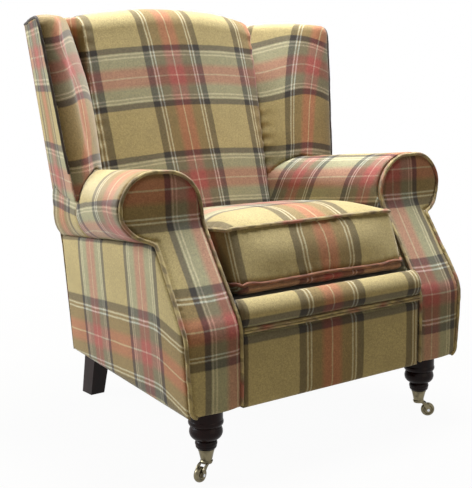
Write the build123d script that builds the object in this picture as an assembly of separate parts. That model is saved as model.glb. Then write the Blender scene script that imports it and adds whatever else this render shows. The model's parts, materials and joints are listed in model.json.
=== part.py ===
from build123d import *

import os
from functools import cache
from math import atan, degrees

# A high-backed wing chair for the fireside: a beech frame inside plaid upholstery, a loose
# seat cushion, turned front legs on brass cup castors and raked square back legs.
# Millimetres. X runs to the viewer's right, Y to the back, Z up from the floor. Left and
# right are as seen by someone who faces the chair. Everything is drawn with Y measured back
# from the flat front of the arms, and write() then moves it so that the origin lies under
# the middle of the chair, on the floor.

# ---- driving dimensions ----
SEAT_WIDTH = 500.0  # between the arms
ARM_FRONT = 130.0  # width of each arm front, at the bottom edge
SIDE_IN = 110.4  # how much closer in each side is at the back than at the front
SIDE_LEAN = 0.07  # how much each side leans out, per mm upwards
BODY_DEPTH = 690.0  # from the arm fronts to the back at the bottom
SKIRT_FRONT = 146.0  # height of the upholstery's bottom edge at the front
SKIRT_BACK = 131.0  # and at the back
DECK_HEIGHT = 364.0  # platform under the cushion
ARM_HEIGHT = 618.0  # top of the arm scroll
ARM_FRONT_RAKE = 128.0  # how far the arm front leans back on its way up
RAKE_LIFT = 6.0  # the arm front leaves the vertical this far above the seat rails
RAKE_DROP = 106.0  # and is upright again this far below the arm's top
FRONT_CORNER = 16.0  # rounding of the arm front's bottom outer corner
BACK_HEIGHT = 968.0  # crest at the middle
CREST_RISE = 24.0  # how much lower the crest is beside the wings
BACK_CORNER_IN = 50.0  # the back's top corners, in from the side line of the arm fronts
BACK_WAIST = 400.0  # height at which the back starts to lean
BACK_LEAN = 74.0  # how far its top lies behind its waist
WING_DROP = 38.0  # how much lower the wings are than the crest
WING_FLARE = 34.0  # how far the wing's front edge leans out between the arm and its top

# ---- upholstery thicknesses ----
PANEL = 6.0  # covers that are stretched flat: outside arms, outside back
FACING = 12.0  # padded arm fronts
FACING_BOARD = 12.0
PIPING = 5.0
FRONT_PAD = 25.0  # padded front panel
BORDER_SWELL = 6.0  # how far the seat border rolls out in front of the arms
ARM_PAD = 30.0  # inner wall of the arms
DUST_CLOTH = 1.0

# ---- arm scroll, at the front and where it runs out at the back ----
SCROLL_OVER = 69.0  # how far the scroll reaches out over the arm front's bottom edge
SCROLL_CENTRE = 102.0  # from the seat to the scroll's highest point
SCROLL_RADIUS = 65.0  # from the arm's top down to the scroll's widest point
NECK_UNDER = 142.0  # from the arm's top down to the throat under the scroll
SHOULDER_UNDER = 88.0  # and to where the inner side curves over
NECK_DROP = 56.0  # how much lower the throat runs out at the back
ROLL_TAIL_DROP = 36.0  # how much lower the roll's top runs out at the back
ROLL_TAIL_OUT = 16.0  # what the roll's tail still stands out from the side

# ---- wings ----
WING_SINK = 32.0  # how far below the arm's top the wing's front edge meets the arm
WING_OUT = 6.0  # that edge, out from the side line of the arm fronts
WING_FORWARD = 245.0  # and in front of the back
WING_SET_BACK = 55.0  # how far the front edge leans back between the foot and the top
WING_EDGE_FOOT = 68.0  # thickness of the padded front edge at the foot
WING_EDGE_TOP = 55.0
WING_ROUND = 16.0
WING_HOLLOW = 95.0  # how far the wing's inner side falls back at its top
WING_HOLLOW_OVER = 82.0  # from the arm's top up to where that starts

# ---- inside back ----
BACK_THICK_FOOT = 180.0  # from the back's seam with the arms, at deck height, to its rear
BACK_THICK_TOP = 82.0  # and at the top, to the line of the foot
BACK_CROWN = 24.0  # how far the padding swells forward at the middle
CREST_ROLL = 44.0
CREST_ROUND = 16.0  # rounding of the crest's two ends, beside the wings

# ---- timber ----
RAIL = 28.0
FRONT_RAIL = 35.0
POST = 32.0
POST_IN = 3.6  # a back post's outer face, in from the side at its foot
POST_WIDTH = 30.0
ARM_RAIL_WIDTH = 44.0
ARM_RAIL_HEIGHT = 28.0
BOARD_IN = 8.0  # the arm front's board, in from the outline
ARM_POST_WIDTH = 45.0
CREST_RAIL = 62.0
LOWER_RAIL = 60.0
WING_POST = 28.0
BLOCK = 78.0
BLOCK_HEIGHT = 45.0
BLOCK_UNDER = 108.0  # from the rails' top down to the corner blocks

# ---- seat ----
DECK_PAD = 52.0  # the platform's padding at its front, over the webbing
DECK_FALL = 30.0  # from the platform's front down to the foot of the inside back
WEBBING = 50.0
WEBBING_THICK = 2.0
WEBBING_LONG = 4  # straps from front to back
WEBBING_CROSS = 4  # straps from side to side, laid over them
WEBBING_PITCH = 112.0

# ---- cushion ----
CUSHION_GAP = 0.4
CUSHION_FRONT_LOW = 26.0
CUSHION_FRONT_HIGH = 60.0
CUSHION_BEHIND = 9.0  # clear of the inside back
CUSHION_BELLY = 22.0  # from the deck up to the lower seam
CUSHION_BOX = 113.5  # between the two seams, at the front
CUSHION_BOX_REAR = 93.5
CUSHION_CROWN = 29.0
CUSHION_PIPING = 8.0
CUSHION_CORNER = 22.0
CUSHION_DRAWN_IN = 6.0

# ---- legs ----
FRONT_LEG_IN = 72.0  # axis of a front leg, in from the side line of the arm fronts
FRONT_LEG_Y = 52.0
LEG_RADIUS = 34.5  # of a front leg's collar
REAR_LEG_IN = 45.0  # from a back post's middle to the rear leg's
REAR_LEG_FORWARD = 28.0  # from the back to the rear leg's middle
REAR_LEG_TOP = (46.0, 50.0)
REAR_FOOT = (38.0, 46.0)
REAR_FOOT_IN = 5.0
REAR_LEG_RAKE = 46.0
LEG_BOLT = 8.0
BOLT_LENGTH = 110.0
BOLT_SINK = 38.0  # how far a bolt reaches down into its leg

# ---- castors ----
WHEEL = 32.0
WHEEL_WIDTH = 14.0
CASTOR_TRAIL = 22.0
CUP_OVER = 5.0  # the cup's foot, above the wheel's top
CUP_HEIGHT = 26.0
CUP_TOP_DIAMETER = 32.0
CUP_FOOT_DIAMETER = 23.0
CUP_WALL = 1.6
CUP_FLOOR = 5.0
PIVOT = 5.0
PIVOT_HEAD = 9.0
PIVOT_HEAD_HEIGHT = 2.0
HORN_PLATE = 3.0
HORN_CHEEK = 2.6
HORN_BOSS = 11.0
HORN_DISC = 23.0
AXLE = 4.0
AXLE_HEAD = 6.4
RUNNING = 0.08  # radial clearance of a turning fit
SIDE_PLAY = 0.4
LEFT_CASTOR_ANGLE = 198.0  # where each wheel trails, seen from above, from +X
RIGHT_CASTOR_ANGLE = -36.0

# ---- sizes that follow from them ----
HALF = SEAT_WIDTH / 2
FRONT_HALF = HALF + ARM_FRONT
BACK_REACH = BODY_DEPTH - 5  # the outside back's rear face, at the bottom
BACK_SHOULDER = BACK_HEIGHT - CREST_RISE
BACK_HALF = FRONT_HALF - BACK_CORNER_IN
WING_TOP = BACK_HEIGHT - WING_DROP
SCROLL_OUT = FRONT_HALF + SCROLL_OVER
SCROLL_X = HALF + SCROLL_CENTRE
SCROLL_MID = ARM_HEIGHT - SCROLL_RADIUS
NECK = ARM_HEIGHT - NECK_UNDER
SHOULDER = ARM_HEIGHT - SHOULDER_UNDER
ROLL_TAIL_TOP = ARM_HEIGHT - ROLL_TAIL_DROP
WING_FOOT = ARM_HEIGHT - WING_SINK
WING_FOOT_X = FRONT_HALF + WING_OUT
WING_HOLLOW_FOOT = ARM_HEIGHT + WING_HOLLOW_OVER
WING_FOOT_Y = BODY_DEPTH - WING_FORWARD
BACK_SEAM_FOOT = BODY_DEPTH - BACK_THICK_FOOT
BACK_SEAM_TOP = BODY_DEPTH - BACK_THICK_TOP
WEBBING_TOP = DECK_HEIGHT - DECK_PAD
RAIL_TOP = WEBBING_TOP - 2 * WEBBING_THICK
RAKE_START = RAIL_TOP + RAKE_LIFT
RAKE_END = ARM_HEIGHT - RAKE_DROP
POST_HALF = FRONT_HALF - SIDE_IN - POST_IN - POST_WIDTH / 2
ARM_POST_X = (HALF + ARM_PAD + FRONT_HALF - 2 * BOARD_IN) / 2
DECK_LENGTH = BACK_SEAM_FOOT - BACK_CROWN - FRONT_PAD  # to the foot of the inside back
SEAT_SLOPE = DECK_FALL / DECK_LENGTH
SEAT_ANGLE = degrees(atan(SEAT_SLOPE))
CUSHION_TIP = degrees(atan((CUSHION_BOX - CUSHION_BOX_REAR) / DECK_LENGTH))
CUSHION_SEAM_LOW = DECK_HEIGHT + CUSHION_BELLY
CUSHION_SEAM_HIGH = CUSHION_SEAM_LOW + CUSHION_BOX
CUSHION_TOP = CUSHION_SEAM_HIGH + CUSHION_CROWN
FRONT_LEG_X = FRONT_HALF - FRONT_LEG_IN
REAR_LEG_X = POST_HALF - REAR_LEG_IN
REAR_LEG_Y = BODY_DEPTH - REAR_LEG_FORWARD
REAR_FOOT_X = REAR_LEG_X - REAR_FOOT_IN
CUP_FOOT = WHEEL + CUP_OVER
CUP_TOP = CUP_FOOT + CUP_HEIGHT
TIP_RADIUS = CUP_FOOT_DIAMETER / 2 - CUP_WALL + 0.9  # the leg's tip, on the cup's floor
FAR = 1200.0


# ---- lines that several pieces share ----
def skirt_z(y):
    return SKIRT_FRONT + (SKIRT_BACK - SKIRT_FRONT) * y / BODY_DEPTH


def side_x(y, z):
    return FRONT_HALF - SIDE_IN * y / BODY_DEPTH + SIDE_LEAN * (z - SKIRT_FRONT)


def front_y(z):
    """The arm front's distance behind the front plane, without its rounded bends."""
    share = (z - RAKE_START) / (RAKE_END - RAKE_START)
    return ARM_FRONT_RAKE * min(max(share, 0.0), 1.0)


def neck_z(y):
    return NECK - NECK_DROP * (y - ARM_FRONT_RAKE) / (BODY_DEPTH - ARM_FRONT_RAKE)


def back_y(z):
    """The outside back's rear face."""
    return BACK_REACH + BACK_LEAN * max(z - BACK_WAIST, 0.0) / (WING_TOP - BACK_WAIST)


def back_half(z):
    low = side_x(BODY_DEPTH, SKIRT_BACK)
    return low + (BACK_HALF - low) * (z - SKIRT_BACK) / (WING_TOP - SKIRT_BACK)


def seam_y(z):
    """The inside back's seam with the arms and wings."""
    share = (z - DECK_HEIGHT) / (WING_TOP - DECK_HEIGHT)
    return BACK_SEAM_FOOT + (BACK_SEAM_TOP - BACK_SEAM_FOOT) * share


def deck_z(y):
    """The platform's top, which falls towards the back."""
    return DECK_HEIGHT - SEAT_SLOPE * (y - FRONT_PAD)


# ---- small tools ----
def prism_yz(points, x0, x1):
    """A polygon of (y, z) points, run from x0 to x1."""
    face = make_face(Polyline(*[(x0, y, z) for y, z in points], close=True))
    return extrude(face, amount=x1 - x0, dir=(1, 0, 0))


def prism_xz(wire, y0, y1):
    """A closed wire in the plane Y = 0, run from y0 to y1."""
    return extrude(Pos(0, y0, 0) * make_face(wire), amount=y1 - y0, dir=(0, 1, 0))


def prism_xy(points, z0, z1):
    """A polygon of (x, y) points, run from z0 to z1."""
    face = make_face(Polyline(*[(x, y, z0) for x, y in points], close=True))
    return extrude(face, amount=z1 - z0, dir=(0, 0, 1))


def box(x0, x1, y0, y1, z0, z1):
    low, high = (min(x0, x1), y0, z0), (max(x0, x1), y1, z1)
    size = [b - a for a, b in zip(low, high)]
    return Pos(*low) * Box(*size, align=(Align.MIN, Align.MIN, Align.MIN))


def mirrored(shape):
    return mirror(shape, about=Plane.YZ)


def within_side(inset):
    """Everything inward of the right side's leaning, tapering plane, less an inset."""
    levels = (0.0, FAR)
    rings = []
    for z in levels:
        corners = [
            (-FAR, -FAR / 4, z),
            (side_x(-FAR / 4, z) - inset, -FAR / 4, z),
            (side_x(FAR, z) - inset, FAR, z),
            (-FAR, FAR, z),
        ]
        rings.append(make_face(Polyline(*corners, close=True)))
    return loft(rings, ruled=True)


def front_curve(setback):
    """The arm front in side view: upright, raked, upright again, with rounded bends."""
    corners = [
        (0, setback, 0),
        (0, setback, RAKE_START),
        (0, ARM_FRONT_RAKE + setback, RAKE_END),
        (0, ARM_FRONT_RAKE + setback, FAR),
    ]
    return FilletPolyline(*corners, radius=70)


def behind_front(setback):
    """Everything behind the arm front, less a setback."""
    curve = front_curve(setback)
    close = Polyline(curve @ 1, (0, FAR, FAR), (0, FAR, 0), curve @ 0)
    face = make_face(Wire([*curve.edges(), *close.edges()]))
    return extrude(face, amount=FAR, dir=(1, 0, 0), both=True)


def before_back(inset):
    """Everything in front of the outside back's rear face, less an inset."""
    points = [
        (-FAR, 0),
        (back_y(0) - inset, 0),
        (back_y(BACK_WAIST) - inset, BACK_WAIST),
        (back_y(FAR) - inset, FAR),
        (-FAR, FAR),
    ]
    return prism_yz(points, -FAR, FAR)


def above_skirt(lift):
    points = [
        (-FAR, skirt_z(-FAR) + lift),
        (FAR, skirt_z(FAR) + lift),
        (FAR, FAR),
        (-FAR, FAR),
    ]
    return prism_yz(points, -FAR, FAR)


# ---- arms ----
def scroll_wire(inset, bottom):
    """The right arm front's outline, in the plane Y = 0, drawn in by an inset."""
    inner = HALF + inset
    neck_x = side_x(front_y(NECK), NECK) - inset
    neck_up = NECK + inset * 0.6
    bend_x = side_x(0, RAKE_START) - inset
    foot_x = side_x(0, bottom) - inset
    turn = FRONT_CORNER - inset / 2
    turn_x = side_x(0, bottom + turn) - inset
    out = SCROLL_OUT - inset
    top = ARM_HEIGHT - inset
    left = TangentArc((inner, 0, SHOULDER), (SCROLL_X, 0, top), tangent=(0, 0, 1))
    right = ThreePointArc(
        (SCROLL_X, 0, top),
        (SCROLL_X + (out - SCROLL_X) * 0.73, 0, SCROLL_MID + (top - SCROLL_MID) * 0.69),
        (out, 0, SCROLL_MID),
    )
    under = ThreePointArc(
        (out, 0, SCROLL_MID),
        (neck_x + (out - neck_x) * 0.72, 0, neck_up + (SCROLL_MID - neck_up) * 0.28),
        (neck_x, 0, neck_up),
    )
    side = Polyline((neck_x, 0, neck_up), (bend_x, 0, RAKE_START), (turn_x, 0, bottom + turn))
    corner = ThreePointArc(
        side @ 1, (foot_x - turn * 0.27, 0, bottom + turn * 0.29), (foot_x - turn, 0, bottom)
    )
    rest = Polyline(corner @ 1, (inner, 0, bottom), (inner, 0, SHOULDER))
    pieces = (left, right, under, side, corner, rest)
    return Wire([e for piece in pieces for e in piece.edges()])


def facing():
    bottom = SKIRT_FRONT
    solid = prism_xz(scroll_wire(PIPING, bottom + PIPING), -10, 300)
    return solid & (behind_front(0) - behind_front(FACING))


def facing_piping():
    """Round the whole arm front but its lower edge, where both ends are turned under."""
    outer = prism_xz(scroll_wire(0, SKIRT_FRONT), -10, 300)
    inner = prism_xz(scroll_wire(PIPING, SKIRT_FRONT - 2 * FRONT_CORNER), -20, 310)
    return (outer - inner) & (behind_front(-PIPING / 2) - behind_front(PIPING / 2))


def facing_board():
    solid = prism_xz(scroll_wire(BOARD_IN, SKIRT_FRONT + BOARD_IN), -10, 300)
    solid &= within_side(PANEL)
    return solid & (behind_front(FACING) - behind_front(FACING + FACING_BOARD))


def roll_section(y):
    """The arm's cross-section: a thin inner wall that curls over into the roll."""
    share = (y - ARM_FRONT_RAKE) / (BODY_DEPTH - ARM_FRONT_RAKE)
    share = min(max(share, 0.0), 1.0)
    neck = neck_z(max(y, ARM_FRONT_RAKE))
    side = side_x(max(y, ARM_FRONT_RAKE), neck)
    out = SCROLL_OUT + (side + ROLL_TAIL_OUT - SCROLL_OUT) * share
    top = ARM_HEIGHT + (ROLL_TAIL_TOP - ARM_HEIGHT) * share
    mid = SCROLL_MID + (neck + 70 - SCROLL_MID) * share
    crown = SCROLL_X + (HALF + 30 - SCROLL_X) * share
    left = TangentArc((HALF, y, SHOULDER), (crown, y, top), tangent=(0, 0, 1))
    right = ThreePointArc(
        (crown, y, top),
        (crown + (out - crown) * 0.73, y, mid + (top - mid) * 0.69),
        (out, y, mid),
    )
    under = ThreePointArc(
        (out, y, mid),
        (side + (out - side) * 0.72, y, neck + (mid - neck) * 0.28),
        (side, y, neck),
    )
    rest = Polyline(
        (side, y, neck),
        (HALF + ARM_PAD, y, neck),
        (HALF + ARM_PAD, y, WEBBING_TOP),
        (HALF, y, WEBBING_TOP),
        (HALF, y, SHOULDER),
    )
    return make_face(Wire([*left.edges(), *right.edges(), *under.edges(), *rest.edges()]))


@cache
def arm():
    head = extrude(roll_section(0), amount=ARM_FRONT_RAKE, dir=(0, 1, 0))
    tail = loft([roll_section(ARM_FRONT_RAKE), roll_section(BODY_DEPTH)], ruled=True)
    shape = head + tail
    shape &= behind_front(FACING)
    shape &= before_back(PANEL)
    shape -= facing_board()
    return shape - arm_post() - back_post() - arm_rail() - wing_post()


def outside_arm():
    outline = [
        (0, 0),
        (FAR, 0),
        (FAR, neck_z(FAR)),
        (ARM_FRONT_RAKE, NECK),
        (0, NECK),
    ]
    shape = prism_yz(outline, 0, FAR) & (within_side(0) - within_side(PANEL))
    shape &= behind_front(FACING) & before_back(PANEL) & above_skirt(0)
    return shape - back_post() - arm()


# ---- wings ----
def wing_hollow(z):
    """The wing's inner side leaves the inside back's front edge and curves to the rear."""
    share = max(z - WING_HOLLOW_FOOT, 0.0) / (WING_TOP - WING_HOLLOW_FOOT)
    return WING_HOLLOW * share**2


def wing_section(z):
    share = (z - WING_FOOT) / (WING_TOP - WING_FOOT)
    out_x = WING_FOOT_X + WING_FLARE * share
    out_y = WING_FOOT_Y + WING_SET_BACK * share
    edge = WING_EDGE_FOOT + (WING_EDGE_TOP - WING_EDGE_FOOT) * share
    rear_y = back_y(z) - PANEL
    rear_x = back_half(z)
    seam = seam_y(z) + wing_hollow(z)
    front = ThreePointArc(
        (out_x, out_y, z),
        (out_x - edge / 2, out_y - 10, z),
        (out_x - edge, out_y + 8, z),
    )
    inner = ThreePointArc(
        front @ 1,
        ((out_x - edge + HALF) / 2 - 7, (out_y + seam) / 2 - 4, z),
        (HALF, seam, z),
    )
    rest = Polyline((HALF, seam, z), (HALF, rear_y, z), (rear_x, rear_y, z), (out_x, out_y, z))
    return make_face(Wire([*front.edges(), *inner.edges(), *rest.edges()]))


def wing_corner(z):
    share = (z - WING_FOOT) / (WING_TOP - WING_FOOT)
    return (WING_FOOT_X + WING_FLARE * share, WING_FOOT_Y + WING_SET_BACK * share, z)


def beside(point, x, y, z):
    """A point stood off an edge by the piping's radius, along a direction of about unit length."""
    r = PIPING / 2
    return (point[0] + r * x, point[1] + r * y, point[2] + r * z)


def wing_piping():
    """Up the wing's front edge and back along its top, stood off both seams."""
    rear = (BACK_HALF, back_y(WING_TOP) - PANEL, WING_TOP)
    low = beside(wing_corner(WING_FOOT + 6), 0.88, -0.58, 0)
    high = beside(wing_corner(WING_TOP), 0.88, -0.58, 0.82)
    end = beside(rear, 0.64, -0.6, 0.82)
    path = FilletPolyline(low, high, end, radius=6)
    start = Plane(origin=path @ 0, z_dir=path % 0)
    return sweep(start * Circle(PIPING / 2), path=path)


def wing_block():
    """The padded wing before the arm and the timbers are cut from it."""
    half_way = (WING_HOLLOW_FOOT + WING_TOP) / 2
    levels = (SHOULDER, WING_HOLLOW_FOOT, half_way, WING_TOP)
    block = loft([wing_section(z) for z in levels])
    top = block.faces().sort_by(Axis.Z)[-1]
    rim = [e for e in top.edges() if e.length > 1.002 * (e @ 1 - e @ 0).length]
    return fillet(rim, WING_ROUND)


def wing():
    return wing_block() - arm() - back_post() - wing_post() - wing_rail()


# ---- back ----
def back_profile(x, crest, crown):
    """The inside back's section in the plane X = x."""
    foot = DECK_HEIGHT - DECK_FALL + 1
    front_foot = seam_y(foot) - crown
    front_top = seam_y(WING_TOP) - crown
    shoulder = crest - CREST_ROLL
    rear = back_y(crest - 6) - PANEL
    roll = ThreePointArc(
        (x, front_top, shoulder),
        (x, front_top + CREST_ROLL * 0.30, crest - CREST_ROLL * 0.30),
        (x, front_top + CREST_ROLL, crest),
    )
    rest = Polyline(
        (x, front_top + CREST_ROLL, crest),
        (x, rear, crest - 6),
        (x, back_y(BACK_WAIST) - PANEL, BACK_WAIST),
        (x, back_y(foot) - PANEL, foot),
        (x, front_foot, foot),
        (x, front_top, shoulder),
    )
    return make_face(Wire([*roll.edges(), *rest.edges()]))


def under_shoulders():
    """Everything below the crest's rounded ends."""
    r, high = CREST_ROUND, BACK_SHOULDER + 3
    low = high - r
    arcs = []
    for side in (-1, 1):
        start, end = (side * HALF, 0, low), (side * (HALF - r), 0, high)
        arcs.append(ThreePointArc(start, (side * (HALF - r * 0.29), 0, high - r * 0.29), end))
    left, right = arcs
    above = Polyline(left @ 1, (r - HALF, 0, FAR), (HALF - r, 0, FAR), right @ 1)
    below = Polyline(left @ 0, (-HALF, 0, 0), (HALF, 0, 0), right @ 0)
    pieces = (left, above, right, below)
    return prism_xz(Wire([e for piece in pieces for e in piece.edges()]), 0, FAR)


def inside_back():
    sections = [
        back_profile(-HALF, BACK_SHOULDER, 0),
        back_profile(0, BACK_HEIGHT, BACK_CROWN),
        back_profile(HALF, BACK_SHOULDER, 0),
    ]
    shape = loft(sections) & under_shoulders() & before_back(PANEL)
    timbers = back_post() + mirrored(back_post()) + crest_rail() + lower_back_rail()
    return shape - timbers


def outside_back():
    low, high = SKIRT_BACK - 20, WING_TOP
    crest = ThreePointArc(
        (-back_half(high), 0, high), (0, 0, BACK_HEIGHT - 6), (back_half(high), 0, high)
    )
    sides = Polyline(
        (back_half(high), 0, high),
        (back_half(low), 0, low),
        (-back_half(low), 0, low),
        (-back_half(high), 0, high),
    )
    outline = prism_xz(Wire([*crest.edges(), *sides.edges()]), 0, FAR)
    return outline & (before_back(0) - before_back(PANEL)) & above_skirt(0)


# ---- frame timbers ----
def raked_slab(z0, z1):
    """The depth that the back posts and the rails between them share."""
    return (before_back(PANEL) - before_back(PANEL + POST)) & box(-FAR, FAR, 0, FAR, z0, z1)


def back_post():
    inner, outer = POST_HALF - POST_WIDTH / 2, POST_HALF + POST_WIDTH / 2
    shape = raked_slab(0, BACK_SHOULDER - 38) & box(inner, outer, 0, FAR, 0, FAR)
    return shape & above_skirt(DUST_CLOTH)


def crest_rail():
    half = POST_HALF - POST_WIDTH / 2
    top = BACK_SHOULDER - 34
    crest = ThreePointArc((-half, 0, top), (0, 0, BACK_HEIGHT - 34), (half, 0, top))
    rest = Polyline(
        (half, 0, top),
        (half, 0, top - CREST_RAIL),
        (-half, 0, top - CREST_RAIL),
        (-half, 0, top),
    )
    outline = prism_xz(Wire([*crest.edges(), *rest.edges()]), 0, FAR)
    return outline & raked_slab(0, FAR)


def lower_back_rail():
    half = POST_HALF - POST_WIDTH / 2
    slab = raked_slab(DECK_HEIGHT - 34, DECK_HEIGHT - 34 + LOWER_RAIL)
    return slab & box(-half, half, 0, FAR, 0, FAR)


def back_rail():
    half = POST_HALF - POST_WIDTH / 2
    slab = raked_slab(0, RAIL_TOP) & box(-half, half, 0, FAR, 0, FAR)
    return (slab & above_skirt(DUST_CLOTH)) - bolts()


def front_rail():
    rail = box(-FAR, FAR, FRONT_PAD, FRONT_PAD + FRONT_RAIL, 0, RAIL_TOP)
    rail &= within_side(PANEL)
    rail &= mirrored(within_side(PANEL))
    rail &= behind_front(FACING + FACING_BOARD)
    return (rail & above_skirt(DUST_CLOTH)) - bolts()


def side_rail():
    rail = within_side(PANEL) - within_side(PANEL + RAIL)
    rail &= box(0, FAR, FRONT_PAD + FRONT_RAIL, BODY_DEPTH, 0, RAIL_TOP)
    rail &= before_back(PANEL + POST)
    return rail & above_skirt(DUST_CLOTH)


def arm_rail():
    y0, y1 = ARM_FRONT_RAKE - 10, BODY_DEPTH
    outline = [
        (y0, neck_z(y0) - ARM_RAIL_HEIGHT),
        (y1, neck_z(y1) - ARM_RAIL_HEIGHT),
        (y1, neck_z(y1)),
        (y0, neck_z(y0)),
    ]
    rail = prism_yz(outline, HALF + ARM_PAD, FAR)
    rail &= within_side(PANEL) - within_side(PANEL + ARM_RAIL_WIDTH)
    rail &= before_back(PANEL)
    return (rail & behind_front(FACING + FACING_BOARD)) - back_post()


def arm_post():
    foot, head = FACING + FACING_BOARD + 3, front_y(NECK) + FACING + FACING_BOARD + 6
    outline = [
        (foot, RAIL_TOP),
        (foot + 42, RAIL_TOP),
        (head + 42, NECK),
        (head, NECK),
    ]
    half = ARM_POST_WIDTH / 2
    post = prism_yz(outline, ARM_POST_X - half, ARM_POST_X + half)
    return (post & behind_front(FACING + FACING_BOARD)) - arm_rail()


def wing_post():
    """Stands on the arm rail and leans out into the wing's padded front edge."""
    foot_y = WING_FOOT_Y + WING_POST
    foot_z = neck_z(foot_y) - ARM_RAIL_HEIGHT / 2
    foot = (side_x(foot_y, foot_z) - PANEL - ARM_RAIL_WIDTH / 2, foot_y, foot_z)
    rings = [Pos(*centre) * Rectangle(WING_POST, WING_POST) for centre in (foot, wing_head())]
    return loft(rings, ruled=True) - arm_rail()


def wing_head():
    """The middle of the wing post's top end."""
    x, y, z = wing_corner(WING_TOP - 30)
    return (x - WING_EDGE_TOP / 2 - 6, y + WING_POST, z)


def wing_rail():
    """Runs from the head of the wing post back to the back post."""
    x, y, z = wing_head()
    rear_x = POST_HALF + POST_WIDTH / 2
    rear_y = back_y(z) - PANEL - POST
    points = [
        (x - 10, y),
        (x + 12, y),
        (rear_x + 20, rear_y + 20),
        (rear_x, rear_y + 20),
        (rear_x, rear_y),
    ]
    return prism_xy(points, z - 44, z - 4) - wing_post() - back_post()


def corner_blocks():
    front = FRONT_PAD + FRONT_RAIL
    x = side_x(front, RAIL_TOP) - PANEL - RAIL - 22
    low = RAIL_TOP - BLOCK_UNDER
    high = low + BLOCK_HEIGHT
    shape = prism_xy([(x, front), (x - BLOCK, front), (x, front + BLOCK)], low, high)
    rear = BACK_REACH - PANEL - POST
    x = POST_HALF - POST_WIDTH / 2
    back = prism_xy([(x, rear), (x - BLOCK, rear), (x, rear - BLOCK)], low, high)
    return [shape, mirrored(shape), back, mirrored(back)]


def bolts():
    """One hanger bolt up through each leg and into the rail above it."""
    bolt = Cylinder(LEG_BOLT / 2, BOLT_LENGTH, align=(Align.CENTER, Align.CENTER, Align.MIN))
    front = Pos(FRONT_LEG_X, FRONT_LEG_Y, SKIRT_FRONT - BOLT_SINK) * bolt
    rear = Pos(REAR_LEG_X, REAR_LEG_Y + 5, SKIRT_BACK - BOLT_SINK) * bolt
    return front + mirrored(front) + rear + mirrored(rear)


# ---- seat ----
def spread(count):
    """The middles of evenly pitched straps, about zero."""
    return [WEBBING_PITCH * (i - (count - 1) / 2) for i in range(count)]


def seat_webbing():
    """Straps tacked to the tops of the seat rails, one layer each way."""
    half = WEBBING / 2
    low, mid = RAIL_TOP, RAIL_TOP + WEBBING_THICK
    first = FRONT_PAD + 4
    last = BACK_REACH - PANEL - 4
    straps = [box(x - half, x + half, first, last, low, mid) for x in spread(WEBBING_LONG)]
    middle = (first + last) / 2
    for y in spread(WEBBING_CROSS):
        reach = side_x(middle + y + half, RAIL_TOP) - PANEL - 4
        reach = min(reach, HALF + ARM_PAD - 2)
        y0, y1 = middle + y - half, middle + y + half
        straps.append(box(-reach, reach, y0, y1, mid, mid + WEBBING_THICK))
    return straps


def seat_deck():
    points = [
        (FRONT_PAD, WEBBING_TOP),
        (BODY_DEPTH, WEBBING_TOP),
        (BODY_DEPTH, deck_z(BODY_DEPTH)),
        (FRONT_PAD, DECK_HEIGHT),
    ]
    deck = prism_yz(points, -HALF, HALF)
    return (deck & before_back(PANEL + POST)) - lower_back_rail()


def front_panel():
    panel = box(-HALF, HALF, 0, FRONT_PAD, 0, RAIL_TOP - 11)
    return panel & above_skirt(0)


def border_piping():
    """The double welt between the front panel and the seat border."""
    beads = []
    for z in (RAIL_TOP - 8, RAIL_TOP - 2.4):
        bead = Pos(0, 1, z) * Rot(0, 90, 0) * Cylinder(PIPING / 2 + 0.2, SEAT_WIDTH)
        beads.append(bead)
    return beads


def front_border():
    low, top = RAIL_TOP + 1, DECK_HEIGHT - 1
    roll = ThreePointArc((0, 4, low), (0, -BORDER_SWELL, low + 24), (0, 17, top))
    rest = Polyline((0, 17, top), (0, FRONT_PAD, top), (0, FRONT_PAD, low), (0, 4, low))
    face = make_face(Wire([*roll.edges(), *rest.edges()]))
    return extrude(face, amount=HALF, dir=(1, 0, 0), both=True)


def dust_cloth():
    cloth = box(-FAR, FAR, FRONT_PAD, BODY_DEPTH, 0, FAR)
    cloth &= within_side(PANEL)
    cloth &= mirrored(within_side(PANEL))
    cloth &= before_back(PANEL)
    return (cloth & (above_skirt(0) - above_skirt(DUST_CLOTH))) - bolts()


# ---- loose cushion, drawn level and then laid on the sloping platform ----
def tipped(shape, y, z, angle):
    """Leans a shape back about the line through y and z that runs from side to side."""
    return shape.rotate(Axis((0, y, z), (1, 0, 0)), -angle)


def laid_on_deck(shape):
    return tipped(shape, FRONT_PAD, DECK_HEIGHT, SEAT_ANGLE)


def cushion_ring(z, front, inset):
    """A plan outline whose sides are drawn in between its rounded corners."""
    half = HALF - CUSHION_GAP - CUSHION_PIPING / 2 - inset
    y0 = front + inset
    leaned = SEAT_SLOPE * (z - DECK_HEIGHT)
    back = seam_y(z - DECK_FALL) - BACK_CROWN - leaned
    y1 = back - CUSHION_BEHIND - CUSHION_PIPING / 2 - inset
    mid = (y0 + y1) / 2
    bow = CUSHION_DRAWN_IN
    sides = [
        ThreePointArc((-half, y0, z), (0, y0 + bow, z), (half, y0, z)),
        ThreePointArc((half, y0, z), (half - bow, mid, z), (half, y1, z)),
        ThreePointArc((half, y1, z), (0, y1 - bow, z), (-half, y1, z)),
        ThreePointArc((-half, y1, z), (-half + bow, mid, z), (-half, y0, z)),
    ]
    face = make_face(Wire([e for side in sides for e in side.edges()]))
    return fillet(face.vertices(), CUSHION_CORNER + inset * 0.3)


def upper_ring(z, inset):
    """A ring at the upper seam or over it, where the boxing is lower at the back."""
    ring = cushion_ring(z, CUSHION_FRONT_HIGH, inset)
    return tipped(ring, CUSHION_FRONT_HIGH, CUSHION_SEAM_HIGH, CUSHION_TIP)


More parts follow.
